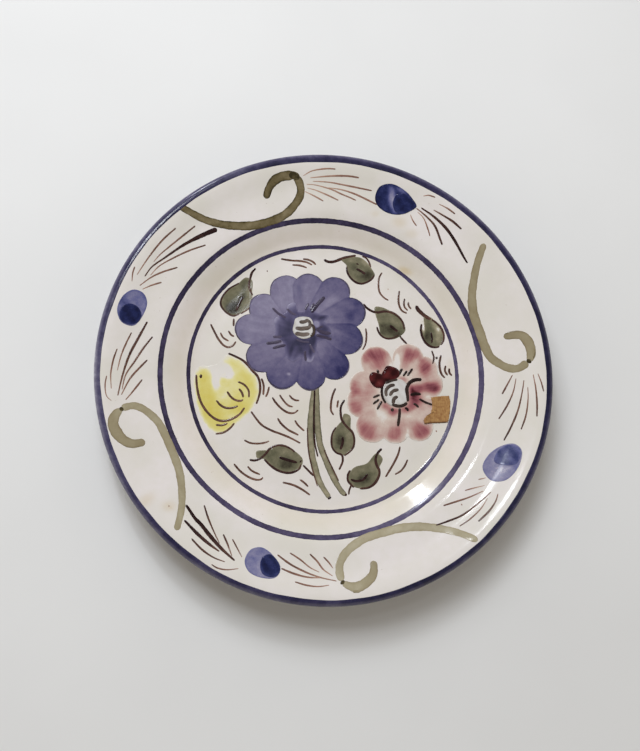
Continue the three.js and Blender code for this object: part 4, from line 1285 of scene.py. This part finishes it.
# ---- berries: a pale wash and a darker round dab over it ----
BERRIES = {
    "berry_1": {
        "outline": [
            (26.8, 101.6), (29.4, 107.4), (36, 108.9), (44, 105), (48.4, 100.4), (50.6, 96.4),
            (46, 93.2), (40, 91.6), (33, 93), (28, 97),
        ],
        "wash": 0.8,
        "shades": [(36.9, 100, 2.5, 7.6, 10, -0.6), (42, 105.4, 4, 1.8, -30, -0.4), (29.5, 99, 3, 4, 0, 0.1)],
        "dab": [
            (36.9, 98), (38.6, 102.6), (42.6, 103.6), (46.6, 101.4), (50.2, 96.6), (46.6, 93.6),
            (42, 92), (38.4, 93.6),
        ],
        "depth": 0.88,
    },
    "berry_2": {
        "outline": [
            (-98.7, 35.6), (-101, 40.6), (-106, 41.9), (-111.4, 38), (-114.2, 30), (-111.4, 23.4),
            (-105.4, 22.2), (-100.8, 28),
        ],
        "wash": 0.36,
        "shades": [(-110.6, 35, 2.4, 4, 20, 0.2), (-112, 28, 2, 4, 0, 0.16), (-102.5, 38.6, 3, 2, 20, 0.04)],
        "dab": [
            (-113, 27.6), (-111.6, 32), (-107.6, 34.2), (-103.4, 32.6), (-101.4, 28.4), (-103, 24.4),
            (-107.6, 22.6), (-111.4, 24),
        ],
        "depth": 0.9,
    },
    "berry_3": {
        "outline": [
            (-44, -101.6), (-41, -96), (-35.4, -94.7), (-29.4, -98.6), (-25.3, -106), (-28, -110.2),
            (-35.6, -110.2), (-42, -107),
        ],
        "wash": 0.26,
        "shades": [
            (-40, -102, 2.4, 4.6, 10, 0.1), (-36, -97, 3, 1.6, 0, 0.14), (-38.5, -107, 3, 2, -20, 0.08),
        ],
        "dab": [
            (-36, -104), (-34.6, -99.6), (-31, -98.2), (-27.6, -100.6), (-25.4, -105), (-26.8, -109),
            (-30.6, -110), (-34.6, -108.4),
        ],
        "depth": 0.86,
    },
    "berry_4": {
        "outline": [
            (84.2, -52), (87.6, -45), (94.6, -40), (102, -38.7), (105.6, -42.4), (103.2, -51.6),
            (96, -58.8), (88.4, -58.8),
        ],
        "wash": 0.22,
        "shades": [(88, -51, 3, 4, 0, 0.08), (102, -50, 2, 4, -10, 0.1), (95, -54, 4, 3, 0, -0.04)],
        "dab": [
            (90.8, -48.6), (91.6, -44.6), (94.8, -40.8), (101, -39.2), (105, -41.8), (104.8, -46),
            (102, -50), (96, -50.6),
        ],
        "depth": 0.6,
    },
}


def berry_wash(base, shades):
    return lambda x, y, s: patches(x, y, base, shades) + 0.12 * ease((s - 0.82) / 0.18)


def berry_dab(depth):
    return lambda x, y, s: depth + 0.06 * np.sin(x * 0.9 + y * 0.6) - 0.1 * ease((s - 0.7) / 0.3)


for berry_name, berry in BERRIES.items():
    berry_outline = smooth_line(berry["outline"], 0.4, True)
    wash = blob(berry_outline, berry_wash(berry["wash"], berry["shades"]), rows=26, relief=0.08)
    dab_outline = smooth_line(berry["dab"], 0.4, True)
    dab = blob(dab_outline, berry_dab(berry["depth"]), rows=16, relief=0.06, lift=0.12)
    piece(berry_name + "_dabs", [wash, dab], MATERIALS["berry"], [berry_name])

# ---- sprigs: fans of fine strokes from the scroll ends and berries ----
SPRIGS = {
    "sprig_1": [
        (0.9, 0.5, [(-14.5, 111.7), (-10, 114.4), (-5, 115.7), (0, 116.3), (4, 116.2)]),
        (1.1, 0.55, [(-10.5, 110.9), (-3, 111.9), (5, 112.6), (12, 112.6), (17.5, 111.9)]),
        (1.0, 0.55, [(-9, 109.1), (0, 109), (8, 107.9), (16, 106.6), (25, 105)]),
        (0.9, 0.5, [(-12.5, 107.3), (-8, 107.2), (-3, 106.3), (2, 105), (8, 102.5), (14, 100.2), (16, 99.3)]),
        (1.1, 0.55, [(0, 106), (8, 105), (15, 103), (22, 100), (28, 97.2)]),
        (0.9, 0.48, [(-12, 105.3), (-7, 104.2), (0, 101.6), (6, 99)]),
        (0.9, 0.48, [(-13.8, 103.5), (-8, 101), (-2.5, 98.2)]),
    ],
    "sprig_2": [
        (0.8, 0.6, [(54, 102.1), (57, 102.5), (61, 101.3)]),
        (0.9, 0.65, [(63, 97.6), (68, 95), (72.3, 91.8)]),
        (1.3, 0.85, [(60, 94.5), (66, 91), (71, 87.8), (76, 83.3)]),
        (1.7, 1.05, [(53, 95.8), (60, 91), (67, 84.5), (72, 77.5), (78, 66.5), (79.5, 64)], SWELLING),
        (1.3, 0.85, [(50.3, 95.6), (56, 91), (61, 85.5), (64, 78), (65.3, 74.5)]),
        (0.8, 0.55, [(51, 93.5), (54.5, 90), (57, 84), (58.3, 79.5)]),
        (0.8, 0.55, [(47, 92), (48.5, 88.5), (50.7, 85.3)]),
    ],
    "sprig_3": [
        (1.0, 0.75, [(103, 0), (100.5, -4.5), (96.8, -11)]),
        (1.0, 0.75, [(104.8, -2), (103, -9.5), (99.5, -17), (94.3, -25)]),
        (1.1, 0.8, [(109, -3), (107.7, -10), (105, -20), (101, -29), (96.5, -37)]),
        (0.9, 0.72, [(110.8, -7), (110.6, -14), (109, -23), (106, -31)]),
        (1.0, 0.72, [(113.9, 0), (114.9, -8), (115.1, -17), (114.6, -24)]),
        (0.8, 0.68, [(116.3, 0.5), (118, -5), (119, -10)]),
    ],
    "sprig_4": [
        (0.6, 0.5, [(86, -57.3), (83.6, -57.9), (81.5, -58.3)]),
        (0.7, 0.5, [(85, -61.5), (78, -63.2), (74, -64.3)]),
        (1.0, 0.7, [(84, -64.5), (76, -68), (69, -70.3), (62, -72.5)]),
        (1.1, 0.85, [(88, -65), (81, -71), (72, -77.5), (64, -80.8), (57.5, -83)]),
        (0.8, 0.68, [(86, -68.3), (82, -74), (76, -79.5), (70, -83.5)]),
        (1.1, 0.8, [(91.5, -66), (90, -70), (86, -75.5), (80, -81)]),
    ],
    "sprig_5": [
        (0.9, 0.62, [(2.2, -105.5), (0, -102.5), (-2.8, -99.5)]),
        (1.0, 0.62, [(2, -109.5), (-3, -106), (-6, -102), (-10, -98)]),
        (0.9, 0.6, [(-5, -107.5), (-10, -105), (-15, -101), (-20.5, -97.5)]),
        (1.1, 0.65, [(4, -112), (-5, -110), (-12, -107.5), (-20, -103.5), (-27, -98.5)]),
        (1.1, 0.62, [(-3, -110.3), (-11, -110), (-18, -108.3), (-25, -105.5)]),
        (0.9, 0.6, [(0, -114), (-6, -114.7), (-12, -114), (-18, -112.3)]),
    ],
    "sprig_6": [
        (0.8, 0.75, [(-45.3, -100), (-48, -95), (-50.5, -90.5)]),
        (1.0, 0.8, [(-50.5, -99.5), (-53, -93), (-55.3, -88)]),
        (1.0, 0.85, [(-57, -93), (-60.5, -86), (-63.5, -79), (-65.5, -73)]),
        (2.1, 1.05, [
            (-49, -101.7), (-56, -95.5), (-62, -89), (-67, -83), (-70, -80), (-73.5, -75), (-75, -73),
        ], SWELLING),
        (1.8, 1.0, [(-57, -97), (-62, -93.5), (-68, -88.5), (-75.5, -81)], SWELLING),
        (1.1, 0.85, [(-54, -102.3), (-60, -100), (-66, -96), (-71.5, -90.5)]),
        (0.8, 0.7, [(-47, -105.6), (-53, -106.2), (-58, -105.3), (-61, -103.5)]),
    ],
    "sprig_7": [
        (0.7, 0.6, [(-115, -19.4), (-117.5, -17), (-118.6, -11), (-118, -6)]),
        (0.9, 0.65, [(-115.4, -13), (-116, -5), (-115, 3), (-113.3, 9)]),
        (0.9, 0.65, [(-112.8, -3), (-111.3, 5), (-109, 12), (-106.3, 18.5)]),
        (1.4, 0.85, [(-112, -16.5), (-110, -5), (-107, 6), (-103, 15), (-98.3, 25)]),
        (1.1, 0.75, [(-110, -13), (-108.5, -5), (-104, 3), (-100, 10), (-95.2, 17)]),
        (1.1, 0.72, [(-110.3, -16), (-106, -6.5), (-101, 0), (-97.5, 4)]),
        (1.0, 0.7, [(-108, -18.5), (-104, -13), (-99.8, -6.8)]),
    ],
    "sprig_8": [
        (0.8, 0.6, [(-107, 46), (-106.7, 51), (-105.7, 54.5)]),
        (1.0, 0.7, [(-104.5, 50), (-100, 58), (-95.5, 65), (-91, 71), (-84.5, 77.7)]),
        (1.0, 0.7, [(-96, 58), (-93, 62), (-88, 67), (-80, 74.5), (-74, 80)]),
        (2.1, 1.0, [
            (-100.5, 49.5), (-97, 55), (-90, 61), (-80, 69), (-72, 74), (-65, 77.7), (-62, 79),
        ], FLARED),
        (1.0, 0.7, [(-97.5, 50.5), (-93, 56), (-85, 61.5), (-77, 66), (-68, 69.8)]),
        (1.0, 0.68, [(-103, 44.3), (-97, 49.5), (-91, 53), (-83, 56.2)]),
        (0.9, 0.62, [(-101.5, 42.5), (-97, 45), (-91.3, 47.3)]),
    ],
}
SPRIG_WIDER = 1.05
SPRIG_PALER = 0.12
for sprig_name, fan in SPRIGS.items():
    lines = strokes(fan, wider=SPRIG_WIDER, paler=SPRIG_PALER, shape=PRESSED, fade=-0.3)
    piece(sprig_name + "_strokes", lines, MATERIALS["brown"], [sprig_name])

# ---- free comma strokes scattered in the well ----
WELL_ACCENTS = [
    (1.0, 0.72, [(-26, 66), (-20, 65.3), (-15, 65.2), (-11, 64.5), (-8, 63)]),
    (1.0, 0.72, [(-13.5, 66.5), (-10, 66), (-7.5, 64.8), (-6, 63.2)]),
    (0.9, 0.7, [(-19.5, 62.7), (-15, 62.5), (-11, 61.3)]),
    (0.9, 0.72, [(32, 60), (30.3, 57), (29.8, 52), (30.5, 48), (33, 45), (35.5, 43.5)]),
    (1.0, 0.75, [(41.8, 49.5), (41.2, 45), (41.5, 41), (43, 37.8), (46, 36.2)]),
    (0.9, 0.75, [(44.8, 45), (44.3, 42.5), (44.6, 40), (46.5, 37.8)]),
    (0.9, 0.75, [(46.8, 43), (47, 40.8), (48.5, 38.7)]),
    (0.9, 0.75, [(22.2, 27), (22.6, 23), (22, 18), (20.3, 14.3)]),
    (1.0, 0.75, [(-64.5, 27), (-62.5, 23), (-60, 18.5), (-57, 15), (-54.5, 14), (-52, 15), (-50.3, 17.5)]),
    (0.9, 0.72, [(-59, 22.3), (-57.5, 19.5), (-54.3, 17.5)]),
    (0.9, 0.72, [(-54.7, 23.5), (-53, 21), (-51.3, 20.2)]),
    (1.0, 0.75, [(-36, -3), (-34.8, -7), (-34.9, -12.5)]),
    (0.9, 0.72, [(-31.7, -7.5), (-32.5, -11), (-33.6, -13.5)]),
    (1.0, 0.75, [(-30, -13.5), (-28, -16.5), (-24.5, -20), (-21, -22), (-18, -22), (-15.5, -20.3)]),
    (0.9, 0.72, [(-26, -12), (-24, -15), (-21, -18), (-18.5, -18.7)]),
    (0.9, 0.72, [(-20.7, -12), (-19, -14), (-17, -15), (-15, -15)]),
    (0.9, 0.72, [(-45, -37.3), (-42, -38.8), (-38, -39.2), (-34, -38.7), (-31.3, -37.7)]),
    (1.0, 0.75, [
        (-41.5, -21.5), (-39, -25), (-35.5, -29), (-30, -32), (-25, -33.8), (-20, -35.8),
        (-14.3, -38.7),
    ]),
    (1.0, 0.75, [(-27, -25), (-25, -28), (-21, -31.5), (-18, -33), (-15.3, -34.3)]),
    (0.9, 0.72, [(-17.5, -26), (-16, -28.5), (-12.2, -32)]),
    (0.9, 0.72, [(-43, -51.5), (-40.5, -54), (-36, -56)]),
    (1.0, 0.72, [(-50.3, -50.3), (-46.5, -54.5), (-42, -57.5), (-38, -58.8), (-35.5, -58.5), (-34.5, -57.3)]),
    (1.0, 0.72, [(-24, -60), (-18, -61.5), (-13, -64), (-9, -66.8)]),
    (0.9, 0.72, [(-14.7, -58.3), (-12, -60.3), (-10, -62.3)]),
    (1.0, 0.78, [(5, -7.7), (3.3, -12), (2.4, -17), (2.5, -20.5), (4, -23)]),
    (0.9, 0.72, [(6.5, -14.3), (6.1, -16.6), (5.8, -18.8)]),
    (1.1, 0.9, [(62.8, 11.5), (62, 10)]),
    (1.1, 0.82, [(65, 12.5), (64, 8), (64.2, 4), (65.3, 1), (67, -0.7)]),
    (1.0, 0.78, [(67.5, 6.5), (67, 3.5), (68.5, 0.7)]),
    (1.0, 0.78, [(69.5, 5), (69.5, 2.5), (71, 0.5)]),
    (1.0, 0.75, [(40.7, -39.7), (39.5, -44), (37, -49), (32.3, -56.7)]),
    (0.9, 0.72, [(44.8, -46.8), (43.3, -50), (41, -53), (37.5, -55.2)]),
]
ACCENT_WIDER = 1.28
ACCENT_PALER = 0.035
accents = strokes(WELL_ACCENTS, wider=ACCENT_WIDER, paler=ACCENT_PALER)
piece("well_accents", accents, MATERIALS["brown"])

# Stray dots of paint: (x, y, radius, pigment).
SPECKS = [
    (-33.5, 58.5, 0.7, 0.7), (35.3, 50, 0.6, 0.3), (61.2, -31, 0.8, 0.5), (72, -72, 0.7, 0.5),
    (-83.5, -74, 0.6, 0.5),
]
dots = [ribbon([(x - r / 2, y), (x + r / 2, y + 0.2)], 1.6 * r, amount) for x, y, r, amount in SPECKS]
piece("stray_specks", dots, MATERIALS["brown"])

# ---- scrap of paper tape ----
TAPE_OUTLINE = [
    (58.5, -12.0), (62, -11.4), (65, -11.1), (68.8, -10.9), (69.5, -14), (69.1, -20), (68.2, -24.5),
    (67.5, -26),
    (63.5, -26.3), (60, -26.4), (54.6, -26.9), (54, -25), (55.6, -22.6), (58.2, -21), (59.1, -18),
    (59.2, -15),
]
TAPE_THICKNESS = 0.14
TAPE_MIDDLE = (62.5, -18.5)
TAPE_RINGS = 15
# the paper is darker along its bottom edge and at its lifted lower left corner
TAPE_DARKER_EDGE = [(60, -26.6, 7, 0.9, 2, 0.9), (66.5, -26, 3, 0.7, 0, 0.5), (57, -24, 2, 2, 0, 0.15)]


def torn_outline():
    """The scrap's straight cut sides and ragged torn ones, point by point."""
    edge = []
    corners = TAPE_OUTLINE + TAPE_OUTLINE[:1]
    for k, (a, b) in enumerate(zip(corners, corners[1:])):
        steps = max(2, int(math.dist(a, b) / 0.3))
        for t in np.linspace(0, 1, steps, endpoint=False):
            torn = 0.14 * float(ripple(t * steps * 0.21 + k, 7 + k))
            edge.append((a[0] + (b[0] - a[0]) * t + torn, a[1] + (b[1] - a[1]) * t - torn))
    return edge


def tape_lift(x, y):
    """Height of the tape's underside over the glaze: stuck down, with a left corner a little lifted."""
    curl = ease((58 - x) / 4) * ease((-23 - y) / 4)
    return 0.16 + 0.35 * curl + 0.03 * np.sin(x * 1.7) * np.sin(y * 1.3)


def tape_sheet():
    outline = np.array(torn_outline())
    centre = np.array(TAPE_MIDDLE)
    out = np.linspace(0, 1, TAPE_RINGS + 1)[1:]
    share = np.concatenate([out, out[::-1]])
    x = centre[0] + share[:, None] * (outline[:, 0] - centre[0])
    y = centre[1] + share[:, None] * (outline[:, 1] - centre[1])
    top = (np.arange(len(share)) < TAPE_RINGS)[:, None]
    grid = on_face(x, y, tape_lift(x, y) + np.where(top, TAPE_THICKNESS, 0))
    count = len(outline)
    faces = wrap_faces(len(share), count, False, True)
    cx, cy = (np.array([c]) for c in centre)
    low = tape_lift(cx, cy)
    vertices = np.vstack([grid.reshape(-1, 3), on_face(cx, cy, low + TAPE_THICKNESS), on_face(cx, cy, low)])
    total = len(share) * count
    for j in range(count):
        k = (j + 1) % count
        faces.append((total, k, j))
        faces.append((total + 1, total - count + j, total - count + k))
    darker_edge = patches(x, y, 0, TAPE_DARKER_EDGE)
    return vertices, faces, np.concatenate([darker_edge.ravel(), [0, 0]])


piece("tape_scrap_paper", [tape_sheet()], MATERIALS["tape"], ["tape_scrap"])

# ---- floor ----
FLOOR_HALF = 12.0  # metres


def make_floor_material():
    material, nodes, shader = new_material("studio_floor")
    tint = nodes.spread(nodes.noise(120, 3, 0.9), 0.3, 0.7)
    grey = nodes.mix(tint, (0.74, 0.735, 0.725, 1), (0.77, 0.765, 0.755, 1))
    nodes.feed(shader.inputs["Base Color"], grey)
    shader.inputs["Roughness"].default_value = 0.9
    return material


def make_floor():
    mesh = bpy.data.meshes.new("studio_floor")
    corners = [(x * FLOOR_HALF, y * FLOOR_HALF, 0) for x, y in ((-1, -1), (1, -1), (1, 1), (-1, 1))]
    mesh.from_pydata(corners, [], [(0, 1, 2, 3)])
    mesh.materials.append(make_floor_material())
    floor = bpy.data.objects.new("studio_floor", mesh)
    bpy.context.scene.collection.objects.link(floor)


make_floor()

# ---- light: a soft dome that is bright low and dim overhead, a panel, and two small mirrored lights ----
# The dome: height of the sky point, from level to straight up, and brightness there.
DOME = [(0.0, 0.61), (0.45, 0.61), (0.72, 0.36), (0.86, 0.12), (1.0, 0.1)]
DOME_TINT = (1.05, 0.98, 0.87)
# Each light: name, tilt from straight up, turn from +X and turn of its Y side in degrees, distance and
# size in metres, watts, and whether the glaze mirrors it.
LIGHTS = [
    ("panel", 41, 114, 90, 1.4, (0.8, 0.8), 14.2, False),
    ("window", 45.4, 109.6, 127, 1.45, (0.075, 0.22), 2.3, True),
    ("ceiling_lamp", 19.4, 98.6, 147, 5.98, (0.26, 0.46), 12.0, True),
]
LIGHT_TINT = (0.95, 1.0, 1.07)
LIGHT_AIM = (0, 0, 0.015)


def make_world():
    world = bpy.data.worlds.new("studio")
    bpy.context.scene.world = world
    world.use_nodes = True
    nodes = Nodes(world.node_tree)
    direction = nodes.add("ShaderNodeTexCoord").outputs["Generated"]
    height = nodes.add("ShaderNodeSeparateXYZ", {0: direction}).outputs["Z"]
    sky = nodes.add("ShaderNodeValToRGB", {0: height})
    while len(sky.color_ramp.elements) < len(DOME):
        sky.color_ramp.elements.new(0.5)
    for element, (position, level) in zip(sky.color_ramp.elements, DOME):
        element.position = position
        element.color = (*(level * share for share in DOME_TINT), 1)
    background = world.node_tree.nodes["Background"]
    nodes.feed(background.inputs["Color"], sky.outputs["Color"])
    background.inputs["Strength"].default_value = 1.0


def aim(obj, location, target, lean=90):
    """Places obj so that its -Z looks at target and its Y leans `lean` degrees from +X."""
    location = Vector(location)
    back = (location - Vector(target)).normalized()
    up = Vector((math.cos(math.radians(lean)), math.sin(math.radians(lean)), 0))
    side = up.cross(back).normalized()
    turn = Matrix((side, back.cross(side), back)).transposed().to_4x4()
    obj.matrix_world = Matrix.Translation(location) @ turn


def polar(tilt, turn, distance, centre):
    """Point at a tilt from straight up and a turn from +X, a distance from a centre, in metres."""
    tilt, turn = math.radians(tilt), math.radians(turn)
    direction = (math.sin(tilt) * math.cos(turn), math.sin(tilt) * math.sin(turn), math.cos(tilt))
    return tuple(c + distance * d for c, d in zip(centre, direction))


def area_light(name, tilt, turn, lean, distance, size, watts, in_gloss):
    light = bpy.data.lights.new(name, "AREA")
    light.shape = "RECTANGLE"
    light.size, light.size_y = size
    light.energy = watts
    light.color = LIGHT_TINT
    obj = bpy.data.objects.new(name, light)
    obj.visible_glossy = in_gloss
    bpy.context.scene.collection.objects.link(obj)
    aim(obj, polar(tilt, turn, distance, (0, 0, 0)), LIGHT_AIM, lean)


make_world()
for light in LIGHTS:
    area_light(*light)

# ---- camera ----
CAMERA_TILT = 13.09  # degrees from straight down
CAMERA_TURN = 243.0
CAMERA_DISTANCE = 0.5148
CAMERA_AIM = (-0.00481, -0.00307, 0.020)
CAMERA_LENS = 45.54

camera_data = bpy.data.cameras.new("camera")
camera_data.lens = CAMERA_LENS
camera_data.clip_start = 0.01
camera = bpy.data.objects.new("camera", camera_data)
bpy.context.scene.collection.objects.link(camera)
aim(camera, polar(CAMERA_TILT, CAMERA_TURN, CAMERA_DISTANCE, CAMERA_AIM), CAMERA_AIM)
bpy.context.scene.camera = camera
bpy.context.scene.view_settings.view_transform = "Standard"
